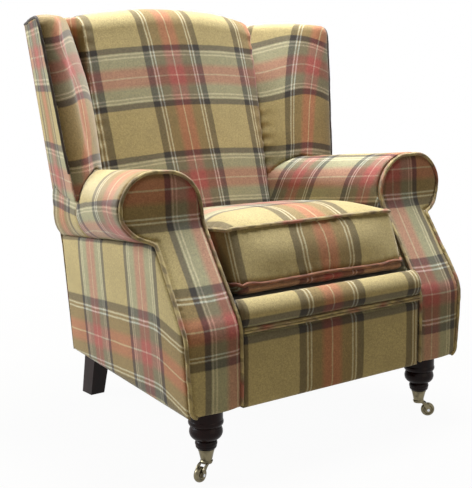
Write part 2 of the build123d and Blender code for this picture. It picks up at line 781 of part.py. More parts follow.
def cushion_rings():
    """The piping stands in front of the seams, so the boxing lies behind it."""
    behind = CUSHION_PIPING / 2 + 0.8
    return [
        cushion_ring(DECK_HEIGHT + CUSHION_GAP, CUSHION_FRONT_LOW, 60),
        cushion_ring(CUSHION_SEAM_LOW, CUSHION_FRONT_LOW, behind),
        upper_ring(CUSHION_SEAM_HIGH, behind),
        upper_ring(CUSHION_TOP - 9, 50),
        upper_ring(CUSHION_TOP, 140),
    ]


def cushion_piping():
    beads = []
    seams = [
        cushion_ring(CUSHION_SEAM_LOW, CUSHION_FRONT_LOW, 0),
        upper_ring(CUSHION_SEAM_HIGH, 0),
    ]
    for seam in seams:
        path = seam.face().outer_wire()
        start = Plane(origin=path @ 0, z_dir=path % 0)
        bead = sweep(start * Circle(CUSHION_PIPING / 2), path=path)
        beads.append(laid_on_deck(bead))
    return beads


def seat_cushion():
    rings = cushion_rings()
    under = loft(rings[0:2], ruled=True)
    boxing = loft(rings[1:3], ruled=True)
    crown = loft(rings[2:5])
    return laid_on_deck(under + boxing + crown)


# ---- legs ----
def front_leg():
    """Turned: a flat collar, a quirk, a bun, a ring and a taper into the castor's cup."""
    top = SKIRT_FRONT + 6
    tip = CUP_FOOT + CUP_FLOOR
    neck_r = CUP_TOP_DIAMETER / 2 - CUP_WALL
    r, z = LEG_RADIUS, CUP_TOP
    profile = [
        Line((0, tip), (TIP_RADIUS, tip)),
        Line((TIP_RADIUS, tip), (neck_r, z)),
        ThreePointArc((neck_r, z), (r - 14, z + 4), (r - 13, z + 9)),
        ThreePointArc((r - 13, z + 9), (r - 11.9, z + 14), (r - 14, z + 19)),
        Line((r - 14, z + 19), (r - 12.5, z + 21)),
        ThreePointArc((r - 12.5, z + 21), (r - 2.3, z + 30), (r - 1.9, z + 44)),
        ThreePointArc((r - 1.9, z + 44), (r - 2.9, z + 47), (r - 3.9, z + 49)),
        ThreePointArc((r - 3.9, z + 49), (r + 0.9, z + 55), (r, z + 62)),
        Line((r, z + 62), (r, top)),
        Line((r, top), (0, top)),
        Line((0, top), (0, tip)),
    ]
    wire = Wire([e for piece in profile for e in piece.edges()])
    section = Plane.XZ * make_face(wire)
    leg = Pos(FRONT_LEG_X, FRONT_LEG_Y, 0) * revolve(section, Axis.Z)
    return (leg - above_skirt(0)) - bolts()


def rear_leg():
    """Square, tapered, and raked back to its foot."""
    top = SKIRT_BACK + 10
    head = Pos(REAR_LEG_X, REAR_LEG_Y, top) * Rectangle(*REAR_LEG_TOP)
    foot = Pos(REAR_FOOT_X, REAR_LEG_Y + REAR_LEG_RAKE, 0) * Rectangle(*REAR_FOOT)
    return loft([foot, head], ruled=True) - above_skirt(0) - bolts()


# ---- castors, drawn round the swivel axis with the wheel trailing along +X ----
def castor_cup():
    top, foot = CUP_TOP_DIAMETER / 2, CUP_FOOT_DIAMETER / 2
    floor = CUP_FOOT + CUP_FLOOR
    profile = [
        (0, CUP_FOOT),
        (foot + 1.5, CUP_FOOT),
        (foot + 1.5, CUP_FOOT + 1.6),
        (foot, CUP_FOOT + 3.2),
        (top, CUP_TOP - 3),
        (top + 0.8, CUP_TOP - 2.2),
        (top + 0.8, CUP_TOP),
        (top - CUP_WALL, CUP_TOP),
        (TIP_RADIUS, floor),
        (0, floor),
    ]
    section = Plane.XZ * make_face(Polyline(*profile, close=True))
    return revolve(section, Axis.Z) - castor_pivot()


def castor_pivot():
    """A rivet through the cup's floor, whose head carries the horn."""
    plate_foot = CUP_FOOT - 0.3 - HORN_PLATE
    head = plate_foot - 0.3 - PIVOT_HEAD_HEIGHT
    profile = [
        (0, head),
        (PIVOT_HEAD / 2 - 1, head),
        (PIVOT_HEAD / 2, head + 1),
        (PIVOT_HEAD / 2, head + PIVOT_HEAD_HEIGHT),
        (PIVOT / 2, head + PIVOT_HEAD_HEIGHT),
        (PIVOT / 2, CUP_FOOT + CUP_FLOOR),
        (0, CUP_FOOT + CUP_FLOOR),
    ]
    return revolve(Plane.XZ * make_face(Polyline(*profile, close=True)), Axis.Z)


def cheek(y):
    """One side of the horn: it swings down from the plate to its boss round the axle."""
    axle_z = WHEEL / 2
    plate_top = CUP_FOOT - 0.3
    boss = HORN_BOSS / 2
    upper = ThreePointArc(
        (4, 0, plate_top), (CASTOR_TRAIL - 3, 0, plate_top - 5), (CASTOR_TRAIL + boss, 0, axle_z)
    )
    round_end = ThreePointArc(
        (CASTOR_TRAIL + boss, 0, axle_z),
        (CASTOR_TRAIL, 0, axle_z - boss),
        (CASTOR_TRAIL - boss, 0, axle_z),
    )
    lower = ThreePointArc(
        (CASTOR_TRAIL - boss, 0, axle_z),
        (CASTOR_TRAIL - boss - 3, 0, axle_z + 9),
        (4, 0, plate_top - HORN_PLATE),
    )
    back = Line((4, 0, plate_top - HORN_PLATE), (4, 0, plate_top))
    wire = Wire([*upper.edges(), *round_end.edges(), *lower.edges(), *back.edges()])
    return prism_xz(wire, y, y + HORN_CHEEK)


def castor_horn():
    plate_top = CUP_FOOT - 0.3
    gap = WHEEL_WIDTH / 2 + SIDE_PLAY
    disc = Pos(0, 0, plate_top - HORN_PLATE) * Cylinder(
        HORN_DISC / 2, HORN_PLATE, align=(Align.CENTER, Align.CENTER, Align.MIN)
    )
    horn = disc + cheek(gap) + cheek(-gap - HORN_CHEEK)
    wheel_room = Pos(CASTOR_TRAIL, 0, WHEEL / 2) * Rot(90, 0, 0) * Cylinder(WHEEL / 2 + 0.8, 2 * gap)
    bore = Pos(0, 0, CUP_FOOT) * Cylinder(PIVOT / 2 + RUNNING, 40)
    return horn - wheel_room - bore - castor_axle()


def castor_axle():
    length = WHEEL_WIDTH + 2 * (SIDE_PLAY + HORN_CHEEK)
    pin = Cylinder(AXLE / 2, length)
    for end in (-1, 1):
        pin += Pos(0, 0, end * (length / 2 + 0.5)) * Cylinder(AXLE_HEAD / 2, 1)
    return Pos(CASTOR_TRAIL, 0, WHEEL / 2) * Rot(90, 0, 0) * pin


def castor_wheel():
    """Turned brass: a rounded tread between two dished faces, with a raised hub."""
    r, half = WHEEL / 2, WHEEL_WIDTH / 2
    bore = AXLE / 2 + RUNNING
    tread = ThreePointArc((r - 2.5, -half + 1), (r, 0), (r - 2.5, half - 1))
    face = [
        (r - 2.5, half - 1),
        (r - 5.5, half - 1),
        (r - 7, half - 2.2),
        (6, half - 2.2),
        (5, half),
        (bore, half),
        (bore, -half),
        (5, -half),
        (6, -half + 2.2),
        (r - 7, -half + 2.2),
        (r - 5.5, -half + 1),
        (r - 2.5, -half + 1),
    ]
    rest = Polyline(*face)
    section = Plane.XZ * make_face(Wire([*tread.edges(), *rest.edges()]))
    return Pos(CASTOR_TRAIL, 0, WHEEL / 2) * Rot(90, 0, 0) * revolve(section, Axis.Z)


def place_castor(shape, side, angle):
    return Pos(side * FRONT_LEG_X, FRONT_LEG_Y, 0) * Rot(0, 0, angle) * shape


# ---- files ----
ORIGIN_Y = (back_y(BACK_HEIGHT - 6) - BORDER_SWELL) / 2


def write(name, shapes):
    if not isinstance(shapes, list):
        shapes = [shapes]
    solids = [Pos(0, -ORIGIN_Y, 0) * s for shape in shapes for s in shape.solids()]
    export_step(solids[0] if len(solids) == 1 else Compound(solids), f"parts/{name}.step")


def write_pair(name, shape):
    write(f"{name}_right", shape)
    write(f"{name}_left", mirrored(shape))


def main():
    os.makedirs("parts", exist_ok=True)
    pairs = [
        facing,
        facing_piping,
        facing_board,
        arm,
        outside_arm,
        wing,
        wing_piping,
        back_post,
        side_rail,
        arm_rail,
        arm_post,
        wing_post,
        wing_rail,
        front_leg,
        rear_leg,
    ]
    for make in pairs:
        write_pair(make.__name__, make())
    singles = [
        inside_back,
        outside_back,
        crest_rail,
        lower_back_rail,
        back_rail,
        front_rail,
        corner_blocks,
        seat_deck,
        front_panel,
        front_border,
        border_piping,
        dust_cloth,
        seat_cushion,
        cushion_piping,
        seat_webbing,
    ]
    for make in singles:
        write(make.__name__, make())
    write("leg_bolts", bolts())
    castor = [castor_cup, castor_pivot, castor_horn, castor_axle, castor_wheel]
    for make in castor:
        write(f"{make.__name__}_left", place_castor(make(), -1, LEFT_CASTOR_ANGLE))
        write(f"{make.__name__}_right", place_castor(make(), 1, RIGHT_CASTOR_ANGLE))


main()
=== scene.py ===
import json
import math

import bmesh
import bpy
import numpy as np
from mathutils import Matrix, Vector
from mathutils.bvhtree import BVHTree


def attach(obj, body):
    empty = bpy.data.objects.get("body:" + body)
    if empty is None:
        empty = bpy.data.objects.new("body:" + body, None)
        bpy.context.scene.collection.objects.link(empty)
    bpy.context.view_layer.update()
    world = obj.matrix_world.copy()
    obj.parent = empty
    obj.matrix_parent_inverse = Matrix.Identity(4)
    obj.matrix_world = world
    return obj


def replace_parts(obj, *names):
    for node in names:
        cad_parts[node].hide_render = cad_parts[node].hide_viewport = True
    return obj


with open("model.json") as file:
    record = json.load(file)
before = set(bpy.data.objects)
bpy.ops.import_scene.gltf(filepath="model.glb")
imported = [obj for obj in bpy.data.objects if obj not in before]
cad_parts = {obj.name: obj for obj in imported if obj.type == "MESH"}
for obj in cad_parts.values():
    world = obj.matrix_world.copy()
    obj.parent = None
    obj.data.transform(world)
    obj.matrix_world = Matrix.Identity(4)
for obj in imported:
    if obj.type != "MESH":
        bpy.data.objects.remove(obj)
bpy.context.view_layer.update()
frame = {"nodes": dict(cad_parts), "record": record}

NODES = frame["nodes"]
BACK = 0.378734  # the row frame's origin, behind the flat front of the arms

# ---- the chair's lines, in metres, with Y from the front of the arms ----
HALF = 0.250
FRONT_HALF = 0.380
DECK = 0.364
NECK = 0.476
SHOULDER = 0.530
ARM_TOP = 0.618
RAKE = 0.128
DEPTH = 0.690
WING_FOOT, WING_TOP = 0.586, 0.930
PANEL = 0.006
DECK_FRONT = 0.025
DECK_SLOPE = 0.065076
DECK_ANGLE = math.atan(DECK_SLOPE)
CUSHION_TIP = math.atan(20 / 461)
SKIRT, SKIRT_BACK = 0.146, 0.131  # the covers' lower edge, at the front and at DEPTH
BEND = 0.314  # where the arm front leaves the upright
CLEAR = 0.0006  # from a cover to the piece beside it
CHUNK = 4000  # points worked out at a time


def skirt_z(y):
    return SKIRT - (SKIRT - SKIRT_BACK) * y / DEPTH


def side_x(y, z):
    return FRONT_HALF - 0.16 * y + 0.07 * (z - SKIRT)


def neck_z(y):
    return NECK - 0.056 * np.maximum(y - RAKE, 0.0) / (DEPTH - RAKE)


def back_y(z):
    return 0.685 + 0.074 * np.maximum(z - 0.400, 0.0) / 0.530


def back_half(z):
    low = side_x(DEPTH, SKIRT_BACK)
    return low + (0.330 - low) * (z - SKIRT_BACK) / (WING_TOP - SKIRT_BACK)


def seam_y(z):
    return 0.510 + 0.098 * (z - DECK) / 0.566


def hollow(z):
    """How far the wing's seam lies behind the inside back's, more towards the top."""
    return 0.095 * (np.maximum(z - 0.700, 0.0) / 0.230) ** 2


def deck_z(y):
    return DECK - DECK_SLOPE * (y - DECK_FRONT)


def turned(points, y, z, angle):
    """Points turned about a line through (y, z) that runs across the chair, rear down."""
    points = np.array(points, float)
    along, up = points[..., 1] - y, points[..., 2] - z
    points[..., 1] = y + along * math.cos(angle) + up * math.sin(angle)
    points[..., 2] = z - along * math.sin(angle) + up * math.cos(angle)
    return points


def rake_table():
    """The arm front in side view with its rounded bends, as (z, y, length along it)."""
    z = np.linspace(0.12, 0.64, 521)
    straight = RAKE * np.clip((z - BEND) / 0.198, 0, 1)
    kernel = np.hanning(63)
    padded = np.r_[np.zeros(31), straight, np.full(31, RAKE)]
    y = np.convolve(padded, kernel / kernel.sum(), "valid")
    run = np.r_[0, np.cumsum(np.hypot(np.diff(z), np.diff(y)))]
    return z, y, run - np.interp(BEND, z, run)


RAKE_Z, RAKE_Y, RAKE_RUN = rake_table()


def front_y(z):
    return np.interp(z, RAKE_Z, RAKE_Y)


# ---- mesh tools ----
def placed(name, data):
    """A new object for data, in the scene."""
    obj = bpy.data.objects.new(name, data)
    bpy.context.scene.collection.objects.link(obj)
    return obj


def link(name, mesh, material, body="frame", smooth=True):
    """A piece of the chair, with its finish, on the body that it moves with."""
    obj = placed(name, mesh)
    mesh.materials.clear()
    mesh.materials.append(material)
    if smooth:
        mesh.shade_smooth()
    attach(obj, body)
    return obj


def read(items, key, width=1, kind=float):
    """One property of all of a mesh's vertices, edges, corners or faces."""
    values = np.empty(len(items) * width, kind)
    items.foreach_get(key, values)
    return values.reshape(-1, width) if width > 1 else values


def points_of(mesh):
    return read(mesh.vertices, "co", 3)


def normals_of(mesh):
    return read(mesh.vertices, "normal", 3)


def move_points(mesh, co):
    mesh.vertices.foreach_set("co", np.ascontiguousarray(co).ravel())
    mesh.update()


def push(mesh, amount):
    """Moves each point along its normal, by its own amount."""
    move_points(mesh, points_of(mesh) + normals_of(mesh) * amount[:, None])


def baked(obj):
    """obj's mesh with its modifiers applied. obj itself is removed."""
    deps = bpy.context.evaluated_depsgraph_get()
    deps.update()
    mesh = bpy.data.meshes.new_from_object(obj.evaluated_get(deps))
    old = obj.data
    bpy.data.objects.remove(obj)
    bpy.data.meshes.remove(old)
    return mesh


def welded(mesh, distance=2e-5):
    """Joins vertices within the distance, and turns every face outwards."""
    bm = bmesh.new()
    bm.from_mesh(mesh)
    if distance:
        bmesh.ops.remove_doubles(bm, verts=bm.verts, dist=distance)
    bmesh.ops.recalc_face_normals(bm, faces=bm.faces)
    bm.to_mesh(mesh)
    bm.free()
    mesh.update()


def even_skin(name, node, voxel, rounds):
    """A CAD solid's shape as a new mesh of even quads, its edges softened."""
    mesh = NODES[node].data.copy()
    mesh.name = name
    obj = placed(name, mesh)
    welded(mesh)
    remesh = obj.modifiers.new("even", "REMESH")
    remesh.mode = "VOXEL"
    remesh.voxel_size = voxel
    soften = obj.modifiers.new("soft", "SMOOTH")
    soften.factor = 0.5
    soften.iterations = rounds
    mesh = baked(obj)
    keep_largest(mesh)
    return mesh


def keep_largest(mesh):
    """Drops loose shells, such as the walls of a cavity that nothing shows."""
    bm = bmesh.new()
    bm.from_mesh(mesh)
    left, shells = set(bm.verts), []
    while left:
        seed = left.pop()
        shell, queue = {seed}, [seed]
        while queue:
            for edge in queue.pop().link_edges:
                for v in edge.verts:
                    if v in left:
                        left.discard(v)
                        shell.add(v)
                        queue.append(v)
        shells.append(shell)
    shells.sort(key=len)
    for shell in shells[:-1]:
        bmesh.ops.delete(bm, geom=list(shell), context="VERTS")
    bm.to_mesh(mesh)
    bm.free()
    mesh.update()


def new_mesh(name, points, faces, distance=1e-7):
    mesh = bpy.data.meshes.new(name)
    mesh.from_pydata(np.reshape(points, (-1, 3)).tolist(), [], faces)
    welded(mesh, distance)
    return mesh


def ring_faces(m, n, looped=False, base=0):
    """Quads over m closed rings of n points, capped at both ends unless looped."""
    faces = []
    for i in range(m if looped else m - 1):
        here, after = base + i * n, base + (i + 1) % m * n
        for k in range(n):
            l = (k + 1) % n
            faces.append((here + k, here + l, after + l, after + k))
    if not looped:
        faces.append(tuple(base + k for k in reversed(range(n))))
        faces.append(tuple(base + (m - 1) * n + k for k in range(n)))
    return faces


def shares(m, n, low=-1):
    """A grid's shares of the way up, from 0 to 1, and across, from low to 1."""
    return np.meshgrid(np.linspace(0, 1, m), np.linspace(low, 1, n), indexing="ij")


def rim_gap(up, ends, high, wide):
    """About how far a panel's points lie from its rim."""
    return np.minimum(np.minimum(up, 1 - up) * high, ends * wide)


def puffed(rim, full, reach, tuck):
    """How far a stretched cover stands out: full inside, tucked in at its rim."""
    return full * (1 - np.exp(-rim / reach)) - tuck * np.exp(-((rim / 0.006) ** 2))


def slab_mesh(name, face, inward, thick, edge=0.002):
    """A closed panel with rolled edges: face is its grid of x, y and z."""
    face, inward = row_frame(np.stack(face, 2)), np.asarray(inward, float)
    m, n = face.shape[:2]
    rim = np.zeros((m, n, 1))
    rim[0], rim[-1], rim[:, 0], rim[:, -1] = 1, 1, 1, 1
    top = face + inward * rim * min(edge, thick / 2)
    faces, at = [], m * n
    for i in range(m - 1):
        for k in range(n - 1):
            a, d = i * n + k, (i + 1) * n + k
            faces += [(a, a + 1, d + 1, d), (at + d, at + d + 1, at + a + 1, at + a)]
    grid = np.arange(at).reshape(m, n)
    border = np.r_[grid[0], grid[1:, -1], grid[-1, -2::-1], grid[-2:0:-1, 0]].tolist()
    faces += [(a, at + a, at + b, b) for a, b in zip(border, border[1:] + border[:1])]
    return new_mesh(name, [top, face + inward * thick], faces)


def row_frame(points):
    """Points measured from the front of the arms, in the row frame."""
    points = np.array(points, float)
    points[..., 1] -= BACK
    return points


def lengths(path):
    """How far along a path each of its points lies."""
    return np.r_[0, np.cumsum(np.linalg.norm(np.diff(path, axis=0), axis=1))]


def nearest(co, line):
    """Each point's distance to a line's nearest point, and that point's number."""
    far, index = np.empty(len(co)), np.empty(len(co), int)
    for start in range(0, len(co), CHUNK):
        part = slice(start, start + CHUNK)
        gap = np.linalg.norm(co[part, None] - line[None], axis=2)
        far[part], index[part] = gap.min(1), gap.argmin(1)
    return far, index


def tube_mesh(name, path, radius, closed, sides=12):
    """A round tube along a path of points, and its vertices' angles round it."""
    count = len(path)
    if closed:
        tangent = np.roll(path, -1, 0) - np.roll(path, 1, 0)
    else:
        tangent = np.gradient(path, axis=0)
    tangent /= np.linalg.norm(tangent, axis=1)[:, None]
    side = np.cross(tangent[0], [0.31, 0.22, 0.92])
    side /= np.linalg.norm(side)
    sides_at = []
    for t in tangent:
        side = side - t * (side @ t)
        side /= np.linalg.norm(side)
        sides_at.append(side)
    side = np.array(sides_at)
    if closed:
        last = side[-1] - tangent[0] * (side[-1] @ tangent[0])
        last /= np.linalg.norm(last)
        twist = math.atan2(np.cross(last, side[0]) @ tangent[0], last @ side[0])
        turn = np.linspace(0, twist, count, endpoint=False)[:, None]
        side = side * np.cos(turn) + np.cross(tangent, side) * np.sin(turn)
    up = np.cross(tangent, side)
    angle = np.linspace(0, 2 * math.pi, sides, endpoint=False)
    rings = path[:, None] + radius[:, None, None] * (
        side[:, None] * np.cos(angle)[:, None] + up[:, None] * np.sin(angle)[:, None]
    )
    return new_mesh(name, rings, ring_faces(count, sides, closed)), angle


def set_uv(mesh, uv):
    """A cloth map from one (u, v) a corner, or one a vertex."""
    uv = np.asarray(uv, float)
    if len(uv) == len(mesh.vertices) and len(uv) != len(mesh.loops):
        uv = uv[read(mesh.loops, "vertex_index", kind=int)]
    mesh.uv_layers.new(name="cloth").data.foreach_set("uv", uv.ravel())


def corners(mesh):
    """Each corner's point and its face's normal, with Y from the front of the arms."""
    total = read(mesh.polygons, "loop_total", kind=int)
    normal = np.repeat(read(mesh.polygons, "normal", 3), total, axis=0)
    point = points_of(mesh)[read(mesh.loops, "vertex_index", kind=int)]
    return point + [0, BACK, 0], normal


def uneven(mesh, amount, scale, seed):
    """Hand-stuffed padding: a few crossed waves move the surface along its normals."""
    co = points_of(mesh)
    rng = np.random.default_rng(seed)
    total = np.zeros(len(co))
    for _ in range(7):
        direction = rng.normal(size=3)
        direction *= rng.uniform(0.6, 1.5) / np.linalg.norm(direction)
        total += np.sin(co @ direction * 2 * math.pi / scale + rng.uniform(0, 6.28))
    push(mesh, amount * total / 7 * 1.6)


def puckered(mesh, seam, amount, wave, reach, seed):
    """Small pulls along a seam, fading out over reach."""
    far, index = nearest(points_of(mesh), seam)
    along = lengths(seam)[index]
    phase = np.random.default_rng(seed).uniform(0, 6.28, 3)
    pull = np.sin(along * 2 * math.pi / wave + phase[0] + 1.5 * np.sin(along * 9 + phase[1]))
    pull *= 0.6 + 0.4 * np.sin(along * 23 + phase[2])
    push(mesh, amount * pull * np.exp(-((far / reach) ** 2)))


# ---- materials ----
class Nodes:
    """A short way to write the nodes of a material or a world."""

    def __init__(self, owner):
        owner.use_nodes = True
        self.owner, self.tree = owner, owner.node_tree
        self.shader = self.tree.nodes.get("Principled BSDF")

    def add(self, kind, **values):
        node = self.tree.nodes.new(kind)
        for key, value in values.items():
            setattr(node, key, value)
        return node

    def link(self, source, target):
        self.tree.links.new(source, target)

    def put(self, socket, value):
        if isinstance(value, bpy.types.NodeSocket):
            self.link(value, socket)
        elif isinstance(value, tuple):
            socket.default_value = (*value, 1.0)
        else:
            socket.default_value = value

    def math(self, operation, a, b=0.0, c=0.0):
        node = self.add("ShaderNodeMath", operation=operation)
        for socket, value in zip(node.inputs, (a, b, c)):
            self.put(socket, value)
        return node.outputs[0]

    def mix(self, factor, a, b, blend="MIX"):
        node = self.add("ShaderNodeMix", data_type="RGBA", blend_type=blend)
        node.clamp_factor = True
        self.put(node.inputs[0], factor)
        self.put(node.inputs[6], a)
        self.put(node.inputs[7], b)
        return node.outputs[2]

    def noise(self, vector, scale, detail=2.0, rough=0.5):
        node = self.add("ShaderNodeTexNoise")
        self.put(node.inputs["Vector"], vector)
        for key, value in (("Scale", scale), ("Detail", detail), ("Roughness", rough)):
            node.inputs[key].default_value = value
        return node.outputs["Fac"]

    def ramp(self, factor, stops):
        node = self.add("ShaderNodeValToRGB")
        ramp = node.color_ramp
        while len(ramp.elements) < len(stops):
            ramp.elements.new(0.5)
        for element, (at, colour) in zip(ramp.elements, stops):
            element.position = at
            element.color = (*colour, 1.0)
        self.put(node.inputs[0], factor)
        return node.outputs[0]

    def greys(self, factor, *stops):
        """A ramp of greys, from its places and levels."""
        return self.ramp(factor, [(at, (level,) * 3) for at, level in stops])

    def place(self):
        return self.add("ShaderNodeTexCoord").outputs["Object"]

    def split(self, vector):
        node = self.add("ShaderNodeSeparateXYZ")
        self.link(vector, node.inputs[0])
        return node.outputs

    def cloth_map(self):
        return self.split(self.add("ShaderNodeUVMap", uv_map="cloth").outputs[0])

    def wave(self, value, length):
        """A sine wave, one for each length of value."""
        return self.math("SINE", self.math("MULTIPLY", value, 2 * math.pi / length))

    def flecked(self, cloth, share, light):
        """Cloth with fine flecks laid over it, and the flecks themselves."""
        fleck = self.noise(self.place(), 620.0, 2.0, 0.65)
        tone = self.greys(fleck, (0.30, 0.25), (0.70, light))
        return self.mix(share, cloth, tone, "OVERLAY"), fleck

    def bump(self, height, strength, distance):
        node = self.add("ShaderNodeBump")
        node.inputs["Strength"].default_value = strength
        node.inputs["Distance"].default_value = distance
        self.link(height, node.inputs["Height"])
        self.link(node.outputs[0], self.shader.inputs["Normal"])

    def scaled(self, vector, scale):
        node = self.add("ShaderNodeMapping")
        self.link(vector, node.inputs["Vector"])
        node.inputs["Scale"].default_value = scale
        return node.outputs[0]

    def shade(self, **values):
        """Sets the shader's inputs, each named with _ for its spaces."""
        for key, value in values.items():
            self.put(self.shader.inputs[key.replace("_", " ")], value)


def material(name):
    return Nodes(bpy.data.materials.new(name))


KHAKI = (0.455, 0.354, 0.152)
DARK_WARP = (0.044, 0.030, 0.016)
DARK_WEFT = (0.044, 0.043, 0.046)
WARP_LINE = (0.62, 0.42, 0.27)
WEFT_LINE = (0.62, 0.47, 0.38)
CREAM = (0.68, 0.65, 0.50)
RUST = (0.36, 0.062, 0.035)
BROWN = (0.150, 0.085, 0.028)
PINK = (0.43, 0.150, 0.140)
SAGE = (0.275, 0.300, 0.215)
WARP_REPEAT = 0.320
WEFT_REPEAT = 0.275
FINE, BROAD = 0.0010, 0.0014  # half of how far an edge between two stripes fades
WARP_STRIPES = (  # each stripe's outer edge from the middle, in metres, its colour and fade
    (0.0016, WARP_LINE, FINE),
    (0.0260, RUST, 0.0070),
    (0.0580, BROWN, FINE),
    (0.0615, CREAM, FINE),
    (0.0680, BROWN, FINE),
    (0.0715, CREAM, FINE),
    (0.0740, BROWN, FINE),
    (0.0930, DARK_WARP, BROAD),
    (0.1600, KHAKI, FINE),
)
WEFT_STRIPES = (
    (0.0016, WEFT_LINE, FINE),
    (0.0245, PINK, 0.0065),
    (0.0500, SAGE, FINE),
    (0.0535, CREAM, FINE),
    (0.0590, SAGE, FINE),
    (0.0625, CREAM, FINE),
    (0.0645, SAGE, FINE),
    (0.0790, DARK_WEFT, BROAD),
    (0.1375, KHAKI, FINE),
)


def stripes(layout, half_repeat):
    """Colour stops from a list of stripes."""
    stops = [(0.0, layout[0][1])]
    for (edge, colour, soft), (_, following, _) in zip(layout, layout[1:]):
        stops.append(((edge - soft) / half_repeat, colour))
        stops.append(((edge + soft) / half_repeat, following))
    return stops


def plaid(name):
    """A brushed wool twill: warp and weft stripes, crossed thread by thread."""
    n = material(name)
    place, (u, v, _) = n.place(), n.cloth_map()
    slow = n.noise(place, 14.0, 2.0)
    wander = n.math("MULTIPLY_ADD", n.noise(place, 420.0, 1.0), 0.010, -0.005)
    shift = n.math("ADD", wander, n.math("MULTIPLY_ADD", slow, 0.012, -0.006))
    threads = []
    for at, turn, layout, repeat in (
        (u, "ADD", WARP_STRIPES, WARP_REPEAT),
        (v, "SUBTRACT", WEFT_STRIPES, WEFT_REPEAT),
    ):
        folded = n.math("PINGPONG", n.math(turn, at, shift), 0.5)
        threads.append(n.ramp(n.math("MULTIPLY", folded, 2.0), stripes(layout, repeat / 2)))
    u_metres = n.math("MULTIPLY", u, WARP_REPEAT)
    twill = n.wave(n.math("ADD", u_metres, n.math("MULTIPLY", v, WEFT_REPEAT)), 0.0026)
    crossed = n.add("ShaderNodeGamma")
    n.link(n.mix(1.0, *threads, "MULTIPLY"), crossed.inputs["Color"])
    crossed.inputs["Gamma"].default_value = 0.5
    plain = n.mix(n.math("MULTIPLY_ADD", twill, 0.30, 0.50), *threads)
    cloth, fleck = n.flecked(n.mix(0.6, plain, crossed.outputs[0]), 0.5, 0.80)
    cloth = n.mix(1.0, cloth, n.greys(slow, (0.3, 0.90), (0.7, 1.0)), "MULTIPLY")
    heather = n.noise(place, 230.0, 2.0, 0.6)
    heather = n.ramp(heather, [(0.34, (0.80, 0.80, 0.82)), (0.66, (1.0, 1.0, 0.97))])
    n.shade(Base_Color=n.mix(1.0, cloth, heather, "MULTIPLY"), Roughness=0.86,
            Specular_IOR_Level=0.25, Sheen_Weight=0.22, Sheen_Roughness=0.42,
            Sheen_Tint=(1.0, 0.95, 0.84))
    height = n.math("ADD", n.math("MULTIPLY", twill, 0.35), n.math("MULTIPLY", fleck, 1.2))
    n.bump(height, 0.30, 0.0005)
    return n.owner


def piping(name, tones):
    """Cord covered in a bias strip of the plaid: so narrow that only short dashes of it show."""
    n = material(name)
    place, (along, _, _) = n.place(), n.cloth_map()
    ground = n.ramp(n.noise(place, 13.0, 2.0), list(zip((0.36, 0.47, 0.56, 0.66), tones)))
    slant = n.math("ADD", along, n.math("MULTIPLY", n.noise(place, 30.0, 1.0), 0.045))
    patches = n.math("MULTIPLY", n.noise(place, 55.0, 1.0), 2.2)
    dash = n.math("MULTIPLY", n.math("ADD", n.wave(slant, 0.031), patches), 0.5)
    dark = n.greys(dash, (0.70, 0.0), (0.86, 0.42))
    cloth, fleck = n.flecked(n.mix(dark, ground, (0.060, 0.045, 0.030)), 0.36, 0.78)
    n.shade(Base_Color=cloth, Roughness=0.86, Specular_IOR_Level=0.25, Sheen_Weight=0.15,
            Sheen_Roughness=0.42)
    twill = n.math("MULTIPLY", n.wave(along, 0.0024), 0.4)
    n.bump(n.math("ADD", twill, fleck), 0.35, 0.0005)
    return n.owner


def weave(name, dark, light, pitch):
    """A plain cloth of crossed threads."""
    n = material(name)
    place = n.place()
    threads = n.add("ShaderNodeTexChecker")
    n.link(place, threads.inputs["Vector"])
    threads.inputs["Scale"].default_value = 1 / pitch
    fuzz = n.math("MULTIPLY", n.noise(place, 0.6 / pitch, 3.0, 0.6), 0.6)
    tone = n.math("ADD", n.math("MULTIPLY", threads.outputs["Fac"], 0.4), fuzz)
    n.shade(Base_Color=n.ramp(tone, [(0.2, dark), (0.8, light)]), Roughness=0.9, Sheen_Weight=0.1)
    n.bump(tone, 0.4, pitch * 0.3)
    return n.owner


def webbing_cloth():
    """Strap webbing: pale threads with two dark lines along each strap."""
    n = material("webbing_weave")
    across, along, _ = n.cloth_map()
    pale, line, edge = (0.30, 0.23, 0.15), (0.05, 0.035, 0.03), (0.24, 0.18, 0.12)
    band = n.ramp(
        n.math("ABSOLUTE", n.math("SUBTRACT", across, 0.5)),
        [(0.0, pale), (0.27, pale), (0.29, line), (0.37, line), (0.39, pale), (0.5, edge)],
    )
    rib = n.math("MULTIPLY", n.wave(along, 0.0022), 0.2)
    tone = n.math("ADD", rib, n.noise(n.place(), 900.0, 2.0))
    ribbed = n.mix(0.3, band, n.greys(tone, (0.2, 0.2), (0.9, 0.8)), "OVERLAY")
    n.shade(Base_Color=ribbed, Roughness=0.85)
    n.bump(tone, 0.4, 0.0004)
    return n.owner


def timber(name, dark, light, grain, rough, coat=0.0, gloss=0.4):
    """Wood with its grain along Z, open pores and a slow change of tone."""
    n = material(name)
    place = n.scaled(n.place(), (1.0, 1.0, 0.12))
    slow = n.noise(place, grain * 0.25, 3.0, 0.55)
    fine = n.noise(place, grain * 3.0, 4.0, 0.65)
    ring = n.math("MULTIPLY", n.math("ADD", slow, n.math("MULTIPLY", fine, 0.15)), 34.0)
    tone = n.math("ADD", n.math("MULTIPLY", slow, 0.5), n.math("MULTIPLY", fine, 0.35))
    tone = n.math("ADD", n.math("MULTIPLY", n.math("SINE", ring), 0.16), tone)
    wear = n.noise(n.place(), 60.0, 3.0)
    n.shade(Base_Color=n.ramp(tone, [(0.15, dark), (0.85, light)]),
            Roughness=n.math("MULTIPLY_ADD", wear, 0.16, rough - 0.08),
            Specular_IOR_Level=gloss, Coat_Weight=coat, Coat_Roughness=0.12)
    n.bump(fine, 0.12, 0.0004)
    return n.owner


